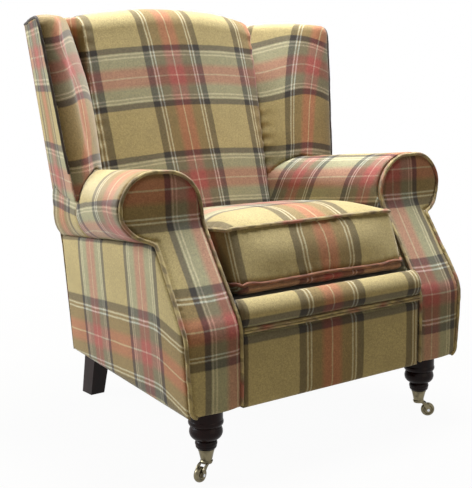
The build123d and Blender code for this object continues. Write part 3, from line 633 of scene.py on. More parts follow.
def ply(name):
    """Birch plywood: pale veneers with darker glue lines through the thickness."""
    n = material(name)
    place = n.place()
    layer = n.math("MULTIPLY", n.wave(n.split(place)[1], 0.0028), 0.15)
    grain = n.noise(n.scaled(place, (1.0, 1.0, 0.08)), 260.0, 4.0, 0.6)
    stops = [(0.2, (0.42, 0.29, 0.16)), (0.75, (0.66, 0.52, 0.35))]
    n.shade(Base_Color=n.ramp(n.math("ADD", layer, grain), stops), Roughness=0.7)
    n.bump(grain, 0.15, 0.0003)
    return n.owner


def metal(name, colour, dull, rough, scratch):
    """Turned metal: bright, with tarnish in patches and fine lines from polishing."""
    n = material(name)
    place = n.place()
    patches = n.noise(place, 70.0, 4.0, 0.6)
    lines = n.noise(n.scaled(place, (1.0, 1.0, 9.0)), 420.0, 2.0)
    tarnish = n.greys(patches, (0.42, 0.0), (0.72, 1.0))
    spread = n.math("MULTIPLY_ADD", lines, scratch, rough)
    n.shade(Base_Color=n.mix(tarnish, colour, dull), Metallic=1.0,
            Roughness=n.math("ADD", spread, n.math("MULTIPLY", patches, 0.10)))
    n.bump(lines, 0.05, 0.0002)
    return n.owner


PLAID = plaid("plaid_twill")
CORD = piping(
    "plaid_cord", ((0.240, 0.175, 0.085), KHAKI, (0.330, 0.240, 0.130), (0.340, 0.130, 0.080))
)
RED_CORD = piping(
    "plaid_cord_rust",
    ((0.17, 0.055, 0.032), (0.27, 0.12, 0.060), (0.20, 0.085, 0.042), (0.30, 0.065, 0.045)),
)
# Dark piping for the wings. Its near-black tones are partly the cord's own dark colour and partly
# painted shade: the deep shadow along the wing's front edge.
DARK_CORD_PAINTED_SHADE = piping(
    "plaid_cord_dark_painted_shade",
    ((0.035, 0.025, 0.017), (0.050, 0.036, 0.024), (0.030, 0.020, 0.014), (0.075, 0.042, 0.026)),
)
DECK_CLOTH = weave("platform_cloth", (0.035, 0.028, 0.022), (0.080, 0.066, 0.054), 0.0014)
UNDER_CLOTH = weave("black_lining", (0.010, 0.010, 0.011), (0.035, 0.035, 0.037), 0.0011)
WEBBING = webbing_cloth()
BEECH = timber("sawn_beech", (0.40, 0.235, 0.12), (0.60, 0.40, 0.235), 42.0, 0.68)
PLY = ply("birch_ply")
MAHOGANY = timber(
    "mahogany_lacquer", (0.0045, 0.0016, 0.0013), (0.017, 0.0050, 0.0036), 46.0, 0.36, 0.04, 0.10
)
BRASS = metal("cast_brass", (0.20, 0.172, 0.104), (0.088, 0.075, 0.049), 0.24, 0.12)
STEEL = metal("zinc_steel", (0.60, 0.61, 0.63), (0.40, 0.40, 0.41), 0.26, 0.14)

BY_SLOT = {
    "beech": BEECH,
    "plywood": PLY,
    "dark_mahogany": MAHOGANY,
    "polished_brass": BRASS,
    "steel": STEEL,
    "deck_cloth": DECK_CLOTH,
    "dust_cloth": UNDER_CLOTH,
    "webbing": WEBBING,
    "plaid_wool": PLAID,
    "plaid_piping": CORD,
}
for part in frame["record"]["subparts"]:
    node = NODES[part["node"]]
    node.data.materials.clear()
    node.data.materials.append(BY_SLOT[part["material_slot"]])


# ---- plaid placement: where the middle of a stripe group lies, and the repeat ----
def warp(position, middle, repeat=WARP_REPEAT):
    return (position - middle) / repeat


def weft(position, middle, repeat=WEFT_REPEAT):
    return (position - middle) / repeat


def cover(name, mesh, rule, node, body="frame"):
    """Maps the plaid on a padded piece and sets it in its node's place.

    rule gets each corner's point and face normal, and gives u and v.
    """
    set_uv(mesh, np.stack(rule(*corners(mesh)), 1))
    obj = link(name, mesh, PLAID, body)
    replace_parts(obj, node)


# ---- inside back ----
BACK_WARP, BACK_WARP_REPEAT = -0.0148, 0.2855
BACK_WEFT, BACK_WEFT_REPEAT = 0.807, 0.257
BACK_MIDDLE = 0.05  # the stripes bow and sag about this x
BACK_LEAN = 0.118


def make_back():
    mesh = even_skin("back_cover", "inside_back", 0.005, 10)
    uneven(mesh, 0.0012, 0.16, 3)
    z = np.linspace(0.34, 0.935, 140)
    for k, side in enumerate((-1, 1)):
        seam = row_frame(np.stack([side * HALF + 0 * z, seam_y(z), z], 1))
        puckered(mesh, seam, 0.0011, 0.034, 0.022, k)

    def rule(p, n):
        x, y, z = p.T
        behind = np.maximum(y - seam_y(z), 0)
        over = np.maximum(behind - 0.012, 0) * np.clip((z - 0.90) / 0.03, 0, 1)
        round_side = np.where(np.abs(n[:, 0]) > 0.6, np.sign(n[:, 0]) * behind, 0)
        lean = BACK_LEAN * (0.782 - z) * (1 - ((x - BACK_MIDDLE) / 0.40) ** 2)
        lean = lean - 0.10 * np.maximum(z - 0.89, 0) * np.clip((x + 0.15) / 0.05, 0, 1)
        height = z + 0.22 * (x - BACK_MIDDLE) ** 2 + np.where(round_side == 0, over, 0)
        u = warp(x + round_side - lean, BACK_WARP, BACK_WARP_REPEAT)
        return u, weft(height, BACK_WEFT, BACK_WEFT_REPEAT)

    cover("back_cover", mesh, rule, "inside_back")


# ---- arms ----
SIGN = {"left": -1, "right": 1}
WALL_POINTS = 12  # of an arm's outline, on its straight inner wall


def arc_through(a, b, c, count):
    """Points on the circle through three points in a plane."""
    a, b, c = (complex(*p) for p in (a, b, c))
    w = (c - a) / (b - a)
    centre = a + (b - a) * (w - abs(w) ** 2) / (2j * w.imag)
    first, mid, end = (math.atan2((p - centre).imag, (p - centre).real) for p in (a, b, c))
    mid, end = (mid - first) % (2 * math.pi), (end - first) % (2 * math.pi)
    if mid > end:
        end -= 2 * math.pi
    points = centre + abs(a - centre) * np.exp(1j * (first + np.linspace(0, end, count)))
    return np.stack([points.real, points.imag], 1)


def tangent_arc(a, c, count):
    """From a, which the arc leaves straight upwards, to c."""
    a, c = np.array(a, float), np.array(c, float)
    dx, dz = c - a
    radius = (dx * dx + dz * dz) / (2 * dx)
    centre = a + [radius, 0]
    end = math.atan2(c[1] - centre[1], c[0] - centre[0])
    sweep = np.linspace(math.pi, end, count)
    return centre + radius * np.stack([np.cos(sweep), np.sin(sweep)], 1)


def roll_line(y, inset=0.0):
    """The right arm's outline at one y: up the inner wall, over the roll, in to the neck."""
    share = min(max((y - RAKE) / (DEPTH - RAKE), 0), 1)
    neck = float(neck_z(max(y, RAKE)))
    side = float(side_x(max(y, RAKE), neck))
    out = 0.449 + (side + 0.016 - 0.449) * share
    top = ARM_TOP - 0.036 * share
    mid = 0.553 + (neck + 0.070 - 0.553) * share
    crown = 0.352 + (HALF + 0.030 - 0.352) * share
    out, top, inner = out - inset, top - inset, HALF + inset
    side, neck = side - inset, neck + inset * 0.6
    wall = np.linspace((inner, BEND + 0.001), (inner, SHOULDER), WALL_POINTS + 1)[:-1]
    left = tangent_arc((inner, SHOULDER), (crown, top), 22)[:-1]
    right = arc_through(
        (crown, top), (crown + (out - crown) * 0.73, mid + (top - mid) * 0.69), (out, mid), 24
    )[:-1]
    under = arc_through(
        (out, mid), (side + (out - side) * 0.72, neck + (mid - neck) * 0.28), (side, neck), 22
    )
    return np.r_[wall, left, right, under]


def arm_run(p):
    """How far each point lies along the cloth from the top of the inner wall, over the roll."""
    lines = np.array([roll_line(y) for y in np.linspace(0.0, DEPTH, 40)])
    last = len(lines) - 1
    at = np.clip(p[:, 1] / DEPTH * last, 0, last - 0.001)
    low = at.astype(int)
    share = (at - low)[:, None, None]
    run = np.empty(len(p))
    for start in range(0, len(p), CHUNK):
        s = slice(start, start + CHUNK)
        line = lines[low[s]] * (1 - share[s]) + lines[low[s] + 1] * share[s]
        step = np.diff(line, axis=1)
        length = np.linalg.norm(step, axis=2)
        total = np.concatenate([np.zeros((len(line), 1)), np.cumsum(length, axis=1)], axis=1)
        total -= total[:, WALL_POINTS : WALL_POINTS + 1]
        q = np.stack([np.abs(p[s, 0]), p[s, 2]], 1)[:, None]
        t = ((q - line[:, :-1]) * step).sum(2) / np.maximum(length**2, 1e-12)
        t = np.clip(t, 0, 1)
        far = np.linalg.norm(q - line[:, :-1] - step * t[..., None], axis=2)
        best = far.argmin(1)
        rows = np.arange(len(line))
        run[s] = total[rows, best] + t[rows, best] * length[rows, best]
    return run


ARM_RINGS = {  # where the rings of stripes lie along each arm: y, and the warp's count there
    "left": ((0.0, 0.100, 0.214, 0.326, 0.447, 0.560), (-0.52, -0.26, 0.0, 0.261, 0.739, 1.0)),
    "right": ((0.0, 0.1891, 0.4425, 0.69), (-1.746, -1.0, 0.0, 0.977)),
}
ARM_BANDS = {"left": (0.311, 0.308), "right": (0.0522, 0.275)}
ROLL_END = 0.462  # behind this the outside cover of the wing runs down over the arm
OVER_ROLL = 0.10  # from this far along the cloth, it lies outside the roll's crown
WING_WARP = {"left": (0.055, 0.292), "right": (0.112, 0.292)}
WING_OUTER = (0.8472, 0.273)


def make_arm(side):
    sign = SIGN[side]
    mesh = even_skin(f"arm_cover_{side}", f"arm_{side}", 0.005, 8)
    uneven(mesh, 0.0010, 0.13, 11 + sign)
    y = np.linspace(0.02, DEPTH, 150)
    neck = np.stack([sign * side_x(np.maximum(y, RAKE), neck_z(y)), y, neck_z(y)], 1)
    puckered(mesh, row_frame(neck), 0.0009, 0.030, 0.020, 5)
    co = points_of(mesh) + [0, BACK, 0]
    fold = np.exp(-(((co[:, 1] - ROLL_END) / 0.005) ** 2)) * (arm_run(co) > OVER_ROLL)
    push(mesh, -0.0035 * fold)

    def rule(p, n):
        y, z, run = p[:, 1], p[:, 2], arm_run(p)
        behind = (y > ROLL_END) & (sign * n[:, 0] > 0) & (run > OVER_ROLL)
        if side == "left":
            along = y + 0.6 * np.maximum(0.546 - z, 0)
            run = run - 0.15 * (0.42 - y)
        else:
            along = y + (0.17 + 0.75 * y) * (z - 0.512)
            run = run + 0.09 * y
        u, v = np.interp(along, *ARM_RINGS[side]), weft(run, *ARM_BANDS[side])
        u = np.where(behind, warp(0.1908 + 1.03 * (y - 0.445), *WING_WARP[side]), u)
        return u, np.where(behind, weft(z, *WING_OUTER), v)

    cover(f"arm_cover_{side}", mesh, rule, f"arm_{side}")


def scroll_outline(inset, low):
    """The right arm front's outline, from its bottom inner corner round to its bottom outer one."""
    roll = roll_line(0.0, inset)[WALL_POINTS:]
    bend_x = side_x(0, BEND) - inset
    turn = 0.016 - inset / 2
    down = np.linspace(roll[-1], (bend_x, BEND), 26)[1:]
    foot_x = side_x(0, low) - inset
    end_x = side_x(0, low + turn) - inset
    side = np.linspace((bend_x, BEND), (end_x, low + turn), 24)[1:]
    bend = (foot_x - turn * 0.27, low + turn * 0.29)
    corner = arc_through((end_x, low + turn), bend, (foot_x - turn, low), 8)[1:]
    up = np.linspace((HALF + inset, low), (HALF + inset, SHOULDER), 60)[:-1]
    return np.r_[up, roll, down, side, corner]


def on_front(outline, sign):
    """Lays an (x, z) outline on the raked arm front."""
    x, z = outline.T
    return row_frame(np.stack([sign * x, front_y(z), z], 1))


def cord(name, path, radius, node, stripe, seed, cloth=CORD, closed=False, body="frame"):
    """Self piping: a cord in a bias strip of the plaid, so its stripes wind round it."""
    run = lengths(path)
    phase = np.random.default_rng(seed).uniform(0, 6.28, 4)
    swell = 1 + 0.05 * np.sin(run * 2 * math.pi / 0.021 + phase[0]) * np.sin(run * 31 + phase[1])
    mesh, angle = tube_mesh(name, path, radius * swell, closed)
    a, b = np.repeat(run, len(angle)), np.tile(angle, len(run)) * radius
    if len(mesh.vertices) != len(a):
        raise ValueError(f"{name}: the cord's points and rings differ")
    set_uv(mesh, np.stack([(a + b) * 0.7071 + stripe, (a - b) * 0.7071], 1))
    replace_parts(link(name, mesh, cloth, body), node)


def resampled(path, step=0.004, closed=False):
    path = np.asarray(path, float)
    if closed:
        path = np.r_[path, path[:1]]
    run = lengths(path)
    count = max(int(run[-1] / step), 4)
    at = np.linspace(0, run[-1], count + 1)
    if closed:
        at = at[:-1]
    return np.stack([np.interp(at, run, path[:, k]) for k in range(3)], 1)


def smoothed(path, rounds, closed=False):
    path = np.array(path, float)
    for _ in range(rounds):
        before, after = np.roll(path, 1, 0), np.roll(path, -1, 0)
        middle = (before + after + 2 * path) / 4
        if not closed:
            middle[0], middle[-1] = path[0], path[-1]
        path = middle
    return path


def surface_path(mesh, path, lift):
    """A path laid on a mesh, standing lift proud of it."""
    faces = [tuple(face.vertices) for face in mesh.polygons]
    tree = BVHTree.FromPolygons([tuple(c) for c in points_of(mesh)], faces)
    laid = []
    for point in path:
        at, normal, _, _ = tree.find_nearest(Vector(point))
        laid.append(np.array(at) + lift * np.array(normal))
    return np.array(laid)


FACING_BANDS = {"left": (-0.267, 0.275), "right": (0.288, 0.275)}
FACING_RINGS = {"left": (0.0045, 0.312), "right": (-0.010, 0.312)}
SIDE_BANDS = (0.188, 0.289)
SIDE_RINGS = (-0.230, 0.312)


def make_facing(side):
    sign = SIGN[side]
    mesh = even_skin(f"arm_front_{side}", f"facing_{side}", 0.0032, 5)
    edge = on_front(scroll_outline(0.0025, SKIRT), sign)
    far, _ = nearest(points_of(mesh), edge)
    facing_out = np.clip(-normals_of(mesh)[:, 1] * 3 - 1.6, 0, 1)
    puff = 0.0036 * (1 - np.exp(-((far / 0.030) ** 2)))
    puff -= 0.0042 * np.exp(-(((far - 0.006) / 0.005) ** 2))
    push(mesh, puff * facing_out)
    uneven(mesh, 0.0005, 0.09, 21 + sign)
    puckered(mesh, edge, 0.0006, 0.017, 0.012, 8 + sign)

    def rule(p, n):
        run = np.interp(p[:, 2], RAKE_Z, RAKE_RUN)
        if side == "left":
            foot = np.clip((-0.015 - run) / 0.05, 0, 1)
            run = run + 0.016 * np.clip((run - 0.15) / 0.12, 0, 1) - 0.013 * foot
        return warp(run, *FACING_RINGS[side]), weft(p[:, 0], *FACING_BANDS[side])

    cover(f"arm_front_{side}", mesh, rule, f"facing_{side}")
    path = resampled(on_front(scroll_outline(0.0012, SKIRT + 0.001), sign), 0.0045)
    path = smoothed(surface_path(mesh, path, 0.0012), 4)
    name, node = f"arm_front_cord_{side}", f"facing_piping_{side}"
    cord(name, path, 0.0040, node, 0.37 + 0.21 * sign, sign + 2)


def make_side(side):
    """The outside arm: one stretched cover under the roll, turned in along every edge."""
    sign = SIGN[side]
    t, s = shares(70, 110, 0)
    y = 0.02 + 0.66 * s
    for _ in range(4):
        top = np.where(y < RAKE, NECK, neck_z(y)) - 0.001
        z = skirt_z(y) + 0.0005 + (top - skirt_z(y)) * t
        front = front_y(z) + 0.0125
        y = front + (back_y(z) - PANEL - CLEAR - front) * s
    rim = rim_gap(t, np.minimum(s, 1 - s), 0.31, 0.66)
    x = side_x(y, z) - 0.0008 + puffed(rim, 0.0022, 0.03, 0.0016)
    name = f"outside_arm_cover_{side}"
    mesh = slab_mesh(name, (sign * x, y, z), (-sign, 0, 0), 0.0048)

    def rule(p, n):
        pull = 0.027 * np.clip((0.17 - p[:, 1]) / 0.17, 0, 1) ** 1.5
        u = warp(p[:, 2] + pull - neck_z(p[:, 1]), *SIDE_RINGS)
        return u, weft(p[:, 1], *SIDE_BANDS)

    cover(name, mesh, rule, f"outside_arm_{side}")


# ---- wings ----
WING_ARCH = {"left": 1.0, "right": 1.7}
WING_ROLL = 0.060
WING_DROP = 0.023
WING_CROWN = 0.011
WING_CORNER = 0.026
WING_CLIP = 0.165  # the inner faces show the stripes only this far from their middle


def wing_corner(z):
    """The wing's outer front corner at a height, as |x| and y."""
    share = (z - WING_FOOT) / (WING_TOP - WING_FOOT)
    return 0.386 + 0.034 * share, 0.445 + 0.055 * share


def left_stripe(z):
    """How far the left wing's inner stripe lies from the seam: it bends out at both ends."""
    low = 0.0245 / (1 + np.exp((z - 0.645) / 0.016))
    return 0.1135 + low + 0.115 / (1 + np.exp((0.830 - z) / 0.026))


def wing_span(points, sign, z):
    """The way from the wing's inner seam at its top to its corner at z.

    Gives its direction and length, and each point measured from that seam.
    """
    seam = seam_y(WING_TOP) + hollow(WING_TOP)
    corner_x, corner_y = wing_corner(z)
    along = np.stack([corner_x - HALF, corner_y - seam], -1)
    length = np.linalg.norm(along, axis=-1, keepdims=True)
    rel = np.stack([sign * points[:, 0] - HALF, points[:, 1] - seam], 1)
    return along / length, length[..., 0], rel


def rounded_top(points, sign):
    """Turns in the wing's upper outer corner, which the padding rounds."""
    along, length, rel = wing_span(points, sign, np.minimum(points[:, 2], WING_TOP))
    a = WING_CORNER - (length - (rel * along).sum(1))
    b = WING_CORNER - (WING_TOP + 0.002 - points[:, 2])
    far = np.hypot(a, b)
    beyond = (a > 0) & (b > 0) & (far > WING_CORNER)
    pull = np.where(beyond, 1 - WING_CORNER / np.maximum(far, 1e-9), 0)
    return points - np.c_[along * [sign, 1] * a[:, None], b] * pull[:, None]


def crowned_top(points, sign):
    """Lifts the middle of the wing's top, above its front edge."""
    along, length, rel = wing_span(points, sign, WING_TOP)
    share = np.clip(rel @ along / length, 0, 1)
    behind = np.clip(1 - np.abs(rel @ [along[1], -along[0]]) / 0.09, 0, 1)
    near_top = np.clip((points[:, 2] - 0.82) / 0.11, 0, 1) ** 2
    lift = WING_CROWN * np.sin(math.pi * share) * behind * near_top
    return points + np.c_[0 * rel, lift]


def make_wing(side):
    sign = SIGN[side]
    mesh = even_skin(f"wing_cover_{side}", f"wing_{side}", 0.0045, 7)
    uneven(mesh, 0.0010, 0.12, 31 + sign)
    co = points_of(mesh) + [0, BACK, 0]
    move_points(mesh, row_frame(crowned_top(rounded_top(co, sign), sign)))
    z = np.linspace(0.55, WING_TOP, 90)
    inner = row_frame(np.stack([sign * HALF + 0 * z, seam_y(z) + hollow(z), z], 1))
    puckered(mesh, inner, 0.0010, 0.030, 0.020, 4)

    def rule(p, n):
        x, y, z = np.abs(p[:, 0]), p[:, 1], p[:, 2]
        corner_x, corner_y = wing_corner(z)
        run_x, run_y = back_half(z) - corner_x, back_y(z) - corner_y
        depth = ((corner_x - x) * run_y + (y - corner_y) * run_x) / np.hypot(run_x, run_y)
        outside = (depth < 0.0035) & (sign * n[:, 0] > 0.1)
        outer = np.hypot(corner_x - HALF, corner_y - seam_y(z)) + 0.02
        outer = outer + np.hypot(x - corner_x, y - corner_y)

        seam = seam_y(z) + hollow(z)
        inner = np.hypot(x - HALF, y - seam)
        edge = np.hypot(corner_x - HALF, corner_y - seam)
        if side == "right":
            inside = inner - 1.04 * hollow(z)
            centre = 0.113 + 0.14 * (z - 0.60)
            pitch = (0.050 + 0.07 * np.clip(z - 0.62, 0, 0.26)) / 0.0835 * WARP_REPEAT
            pitch = np.where(inside > centre, pitch * 0.75, pitch)
            low = -np.inf
        else:
            roll_x = corner_x - WING_ROLL
            front = np.stack([roll_x - HALF, corner_y - seam], 1)
            chord = np.linalg.norm(front, axis=1)
            inside = ((x - HALF) * front[:, 0] + (y - seam) * front[:, 1]) / chord
            inside = np.clip(inside, 0, chord) + np.clip(x - roll_x, 0, WING_ROLL)
            centre, pitch, low = left_stripe(z), 0.25, -WING_CLIP
        u_in = np.clip(warp(inside, centre, pitch), low, WING_CLIP)
        arch = np.sin(math.pi * np.clip(inner / edge, 0, 1) ** WING_ARCH[side])
        drop = WING_DROP * arch * np.clip((z - 0.50) / 0.28, 0, 1)
        v_in = weft(z - drop, 0.8090, 0.265)
        u = np.where(outside, warp(outer, *WING_WARP[side]), u_in)
        return u, np.where(outside, weft(z, *WING_OUTER), v_in)

    cover(f"wing_cover_{side}", mesh, rule, f"wing_{side}")
    (foot_x, foot_y), (top_x, top_y) = wing_corner(WING_FOOT), wing_corner(WING_TOP)
    low = (sign * (foot_x + 0.0022), foot_y - 0.0006, WING_FOOT + 0.006)
    high = (sign * (top_x + 0.0022), top_y - 0.0015, WING_TOP + 0.0020)
    rear_x, rear_y = back_half(WING_TOP) + 0.0016, back_y(WING_TOP) - PANEL - 0.0015
    path = resampled([low, high, (sign * rear_x, rear_y, WING_TOP + 0.0020)], 0.003)
    path = smoothed(row_frame(rounded_top(path, sign)), 8)
    path = smoothed(surface_path(mesh, path, 0.0015), 22)
    name, node = f"wing_cord_{side}", f"wing_piping_{side}"
    # The wing cord's near-black colour is partly painted shade along the wing's front edge.
    cord(name, path, 0.0031, node, 0.11 - 0.3 * sign, sign + 5, DARK_CORD_PAINTED_SHADE)


# ---- outside back ----
def make_outside_back():
    t, s = shares(100, 90)
    low = skirt_z(0.685) + 0.0005
    z = low + (0.962 - 0.032 * s**2 - low) * t
    x = s * (back_half(np.minimum(z, WING_TOP)) - CLEAR)
    rim = rim_gap(t, 1 - np.abs(s), 0.8, 0.3)
    y = back_y(z) - 0.0016 + puffed(rim, 0.0016, 0.03, 0.0012)
    face = [a[:, ::-1] for a in (x, y, z)]
    mesh = slab_mesh("outside_back_cover", face, (0, -1, 0), 0.0040)

    def rule(p, n):
        return warp(p[:, 0], BACK_WARP, 0.305), weft(p[:, 2], BACK_WEFT, 0.265)

    cover("outside_back_cover", mesh, rule, "outside_back")


# ---- seat front ----
PANEL_WARP, PANEL_WARP_REPEAT = -0.0165, 0.314
PANEL_LOW, PANEL_HIGH = 0.1465, 0.2955
WELT_HEIGHTS = (0.3000, 0.3058)


def make_front_panel():
    t, s = shares(34, 110)
    rim = rim_gap(t, 1 - np.abs(s), 0.15, 0.25)
    y = 0.0014 - puffed(rim, 0.0026, 0.02, 0.0020)
    face = (s * (HALF - CLEAR), y, PANEL_LOW + (PANEL_HIGH - PANEL_LOW) * t)
    mesh = slab_mesh("front_panel_cover", face, (0, 1, 0), 0.022)

    def rule(p, n):
        return warp(p[:, 0], PANEL_WARP, PANEL_WARP_REPEAT), weft(p[:, 2], 0.365, 0.310)

    cover("front_panel_cover", mesh, rule, "front_panel")


def make_border():
    """The padded roll under the cushion, and the double welt below it."""
    arc = arc_through((0.004, 0.309), (-0.0055, 0.333), (0.016, 0.3625), 26)
    y, z = np.r_[arc, [[0.0245, 0.3628], [0.0247, 0.336], [0.0247, 0.3092]]].T
    x = np.linspace(-HALF + CLEAR, HALF - CLEAR, 120)[:, None]
    y = y + 0.0022 * np.exp(-(((HALF - np.abs(x)) / 0.006) ** 2))
    y = y + 0.0008 * np.sin(x * 41) * np.clip((z - 0.309) / 0.02, 0, 1)
    rings = row_frame(np.stack(np.broadcast_arrays(x, y, z), 2))
    mesh = new_mesh("seat_border_cover", rings, ring_faces(*rings.shape[:2]))

    def rule(p, n):
        turn = np.maximum(p[:, 1] - 0.004, 0)
        return warp(p[:, 0], PANEL_WARP, PANEL_WARP_REPEAT), weft(p[:, 2] + turn, 0.249)

    cover("seat_border_cover", mesh, rule, "front_border")

    x = np.linspace(-HALF + 0.001, HALF - 0.001, 130)
    for k, height in enumerate(WELT_HEIGHTS):
        y, z = 0.0008 + 0.0003 * np.sin(x * 37 + k), height + 0.0006 * np.sin(x * 21 + k)
        path = row_frame(np.stack([x, y, z], 1))
        cord(f"border_welt_{k + 1}", path, 0.0029, "border_piping", 0.2 * k, k + 9)


# ---- loose cushion ----
CUSHION_WARP = 0.0178
CUSHION_LOW, CUSHION_HIGH = 0.386, 0.4995
CUSHION_FRONTS = (0.026, 0.060)
CUSHION_CORD = 0.004
CUSHION_EDGE = CUSHION_CORD + 0.0045  # from the cushion's limits in to its seams


def cushion_ring(z, front):
    """The seam's outline in plan: sides drawn in between rounded corners, from the front left."""
    half = HALF - 0.0004 - CUSHION_EDGE
    y0 = front + CUSHION_EDGE - CUSHION_CORD
    y1 = seam_y(z - 0.030) - 0.033 - DECK_SLOPE * (z - DECK) - CUSHION_EDGE
    mid, bow = (y0 + y1) / 2, 0.006
    front_side = arc_through((-half, y0), (0, y0 + bow), (half, y0), 90)[:-1]
    right = arc_through((half, y0), (half - bow, mid), (half, y1), 80)[:-1]
    rear = arc_through((half, y1), (0, y1 - bow), (-half, y1), 90)[:-1]
    left = arc_through((-half, y1), (-half + bow, mid), (-half, y0), 80)[:-1]
    loop = np.r_[front_side, right, rear, left]
    loop = resampled(np.c_[loop, np.full(len(loop), z)], 0.004, closed=True)
    return smoothed(loop, 6, closed=True)


def swell(mesh, pressure, frames, cap):
    """Cloth simulation: the cover fills out under pressure.

    Of its result only the way outwards counts, up to cap, evened out over the mesh.
    """
    obj = placed("swelling", mesh)
    cloth = obj.modifiers.new("cloth", "CLOTH")
    stiffness = dict(tension_stiffness=25, compression_stiffness=25, shear_stiffness=12)
    for key, value in dict(
        quality=5, mass=0.3, bending_stiffness=1.5, use_pressure=True,
        uniform_pressure_force=pressure, **stiffness,
    ).items():
        setattr(cloth.settings, key, value)
    cloth.settings.effector_weights.gravity = 0
    cloth.collision_settings.use_collision = False
    cloth.point_cache.frame_start = 1
    cloth.point_cache.frame_end = frames
    scene = bpy.context.scene
    for number in range(1, frames + 1):
        scene.frame_set(number)
    deps = bpy.context.evaluated_depsgraph_get()
    swollen = bpy.data.meshes.new_from_object(obj.evaluated_get(deps))
    moved = points_of(swollen) - points_of(mesh)
    out = np.clip((moved * normals_of(mesh)).sum(1), 0, cap)
    bpy.data.meshes.remove(swollen)
    scene.frame_set(1)
    bpy.data.objects.remove(obj)
    a, b = read(mesh.edges, "vertices", 2, int).T
    count = np.bincount(a, minlength=len(out)) + np.bincount(b, minlength=len(out))
    for _ in range(60):
        total = np.bincount(a, out[b], len(out)) + np.bincount(b, out[a], len(out))
        out = 0.5 * out + 0.5 * total / np.maximum(count, 1)
    push(mesh, out)


def full_belly(points):
    """Fills out the strip under the front seam, which the tipped cushion shows."""
    local = turned(points, DECK_FRONT, DECK, -DECK_ANGLE)
    x, y, z = local.T
    front = y[(z < CUSHION_LOW) & (np.abs(x) < 0.1)].min()
    weight = np.clip((HALF - 0.004 - np.abs(x)) / 0.025, 0, 1) * (z < CUSHION_LOW)
    share = np.clip((y - front) / 0.016, 0, 1)
    low = CUSHION_LOW - (CUSHION_LOW - DECK - 0.0012) * np.sin(share * math.pi / 2)
    sunk = np.minimum(z, low)
    bulge = np.sin(math.pi * np.clip((CUSHION_LOW - sunk) / (CUSHION_LOW - DECK), 0, 1))
    local[:, 2] += (sunk - z) * weight * np.clip((front + 0.075 - y) / 0.02, 0, 1)
    local[:, 1] -= 0.012 * bulge * weight * np.clip((front + 0.050 - y) / 0.034, 0, 1)
    return turned(local, DECK_FRONT, DECK, DECK_ANGLE)


def cushion_seam(mesh, z, front):
    """The cushion's upper or lower seam, laid on its cover."""
    ring = cushion_ring(z, front)
    if z == CUSHION_HIGH:
        ring = turned(ring, front, z, CUSHION_TIP)
    ring = row_frame(turned(ring, DECK_FRONT, DECK, DECK_ANGLE))
    phase = np.random.default_rng(int(z * 1000)).uniform(0, 6)
    run = lengths(ring)
    ring[:, 2] += 0.0009 * np.sin(run * 27 + phase) + 0.0005 * np.sin(run * 61)
    return smoothed(surface_path(mesh, ring, 0.45 * CUSHION_CORD), 5, closed=True)


def make_cushion():
    mesh = even_skin("cushion_cover", "seat_cushion", 0.0055, 4)
    co = points_of(mesh)
    centre = (co.max(0) + co.min(0)) / 2
    move_points(mesh, centre + (co - centre) * [0.988, 0.988, 0.975])
    swell(mesh, pressure=2.5, frames=12, cap=0.010)
    obj = placed("finer", mesh)
    finer = obj.modifiers.new("finer", "SUBSURF")
    finer.levels = finer.render_levels = 1
    mesh = baked(obj)
    co = points_of(mesh) + [0, BACK, 0]
    co[:, 0] = np.clip(co[:, 0], -HALF + CLEAR, HALF - CLEAR)
    co[:, 1] = np.minimum(co[:, 1], seam_y(co[:, 2]) - 0.029)
    co[:, 2] = np.maximum(co[:, 2], deck_z(co[:, 1]) + CLEAR)
    move_points(mesh, row_frame(full_belly(co)))
    uneven(mesh, 0.0010, 0.11, 41)
    seams = [cushion_seam(mesh, *at) for at in zip((CUSHION_LOW, CUSHION_HIGH), CUSHION_FRONTS)]
    for k, seam in enumerate(seams):
        puckered(mesh, np.r_[seam, seam[:1]], 0.0012, 0.026, 0.020, 50 + k)
        far, _ = nearest(points_of(mesh), seam)
        push(mesh, -0.0022 * np.exp(-((far / 0.009) ** 2)))

    def rule(p, n):
        x, y, z = turned(p, DECK_FRONT, DECK, -DECK_ANGLE).T
        rear_drop = math.tan(CUSHION_TIP) * (y - CUSHION_FRONTS[1])
        top = (n[:, 2] > 0.35) & (z > CUSHION_HIGH - rear_drop - 0.001)
        bottom = (z < CUSHION_LOW - 0.001) | ((n[:, 2] < -0.35) & (z < CUSHION_LOW + 0.001))
        share = np.clip((z - CUSHION_LOW) / (CUSHION_HIGH - CUSHION_LOW), 0, 1)
        front = CUSHION_FRONTS[0] + (CUSHION_FRONTS[1] - CUSHION_FRONTS[0]) * share
        behind = np.maximum(y - front - 0.008, 0)
        wrapped = (n[:, 1] < 0.5) & ~top & ~bottom
        v = weft(z, 0.443 - WEFT_REPEAT / 2)
        v = np.where(top, weft(y, 0.110 - WEFT_REPEAT / 2), v)
        v = np.where(bottom, weft(y, 0.030), v)
        return warp(x + np.where(wrapped, np.sign(x) * behind, 0), CUSHION_WARP), v

    cover("cushion_cover", mesh, rule, "seat_cushion", "cushion")
    for k, (seam, cloth) in enumerate(zip(seams, (RED_CORD, CORD))):
        name, stripe = f"cushion_cord_{k + 1}", 0.1 + 0.3 * k
        cord(name, seam, CUSHION_CORD, "cushion_piping", stripe, 60 + k, cloth, True, "cushion")


# ---- deck, lining and webbing ----
DECK_PAD = 0.050
WEBBING_TOP = 0.3128


def make_deck():
    t, s = shares(60, 60)
    y = 0.0262 + (0.6140 - 0.0262) * t
    z = deck_z(y) - 0.0010 - 0.006 * np.exp(-rim_gap(t, 1 - np.abs(s), 0.6, 0.25) / 0.02)
    inward = np.stack([0 * z, 0 * z, (WEBBING_TOP - z) / DECK_PAD], 2)
    mesh = slab_mesh("deck_cover", (s * (HALF - CLEAR), y, z), inward, DECK_PAD)
    set_uv(mesh, points_of(mesh)[:, :2])
    obj = link("deck_cover", mesh, DECK_CLOTH)
    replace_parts(obj, "seat_deck")


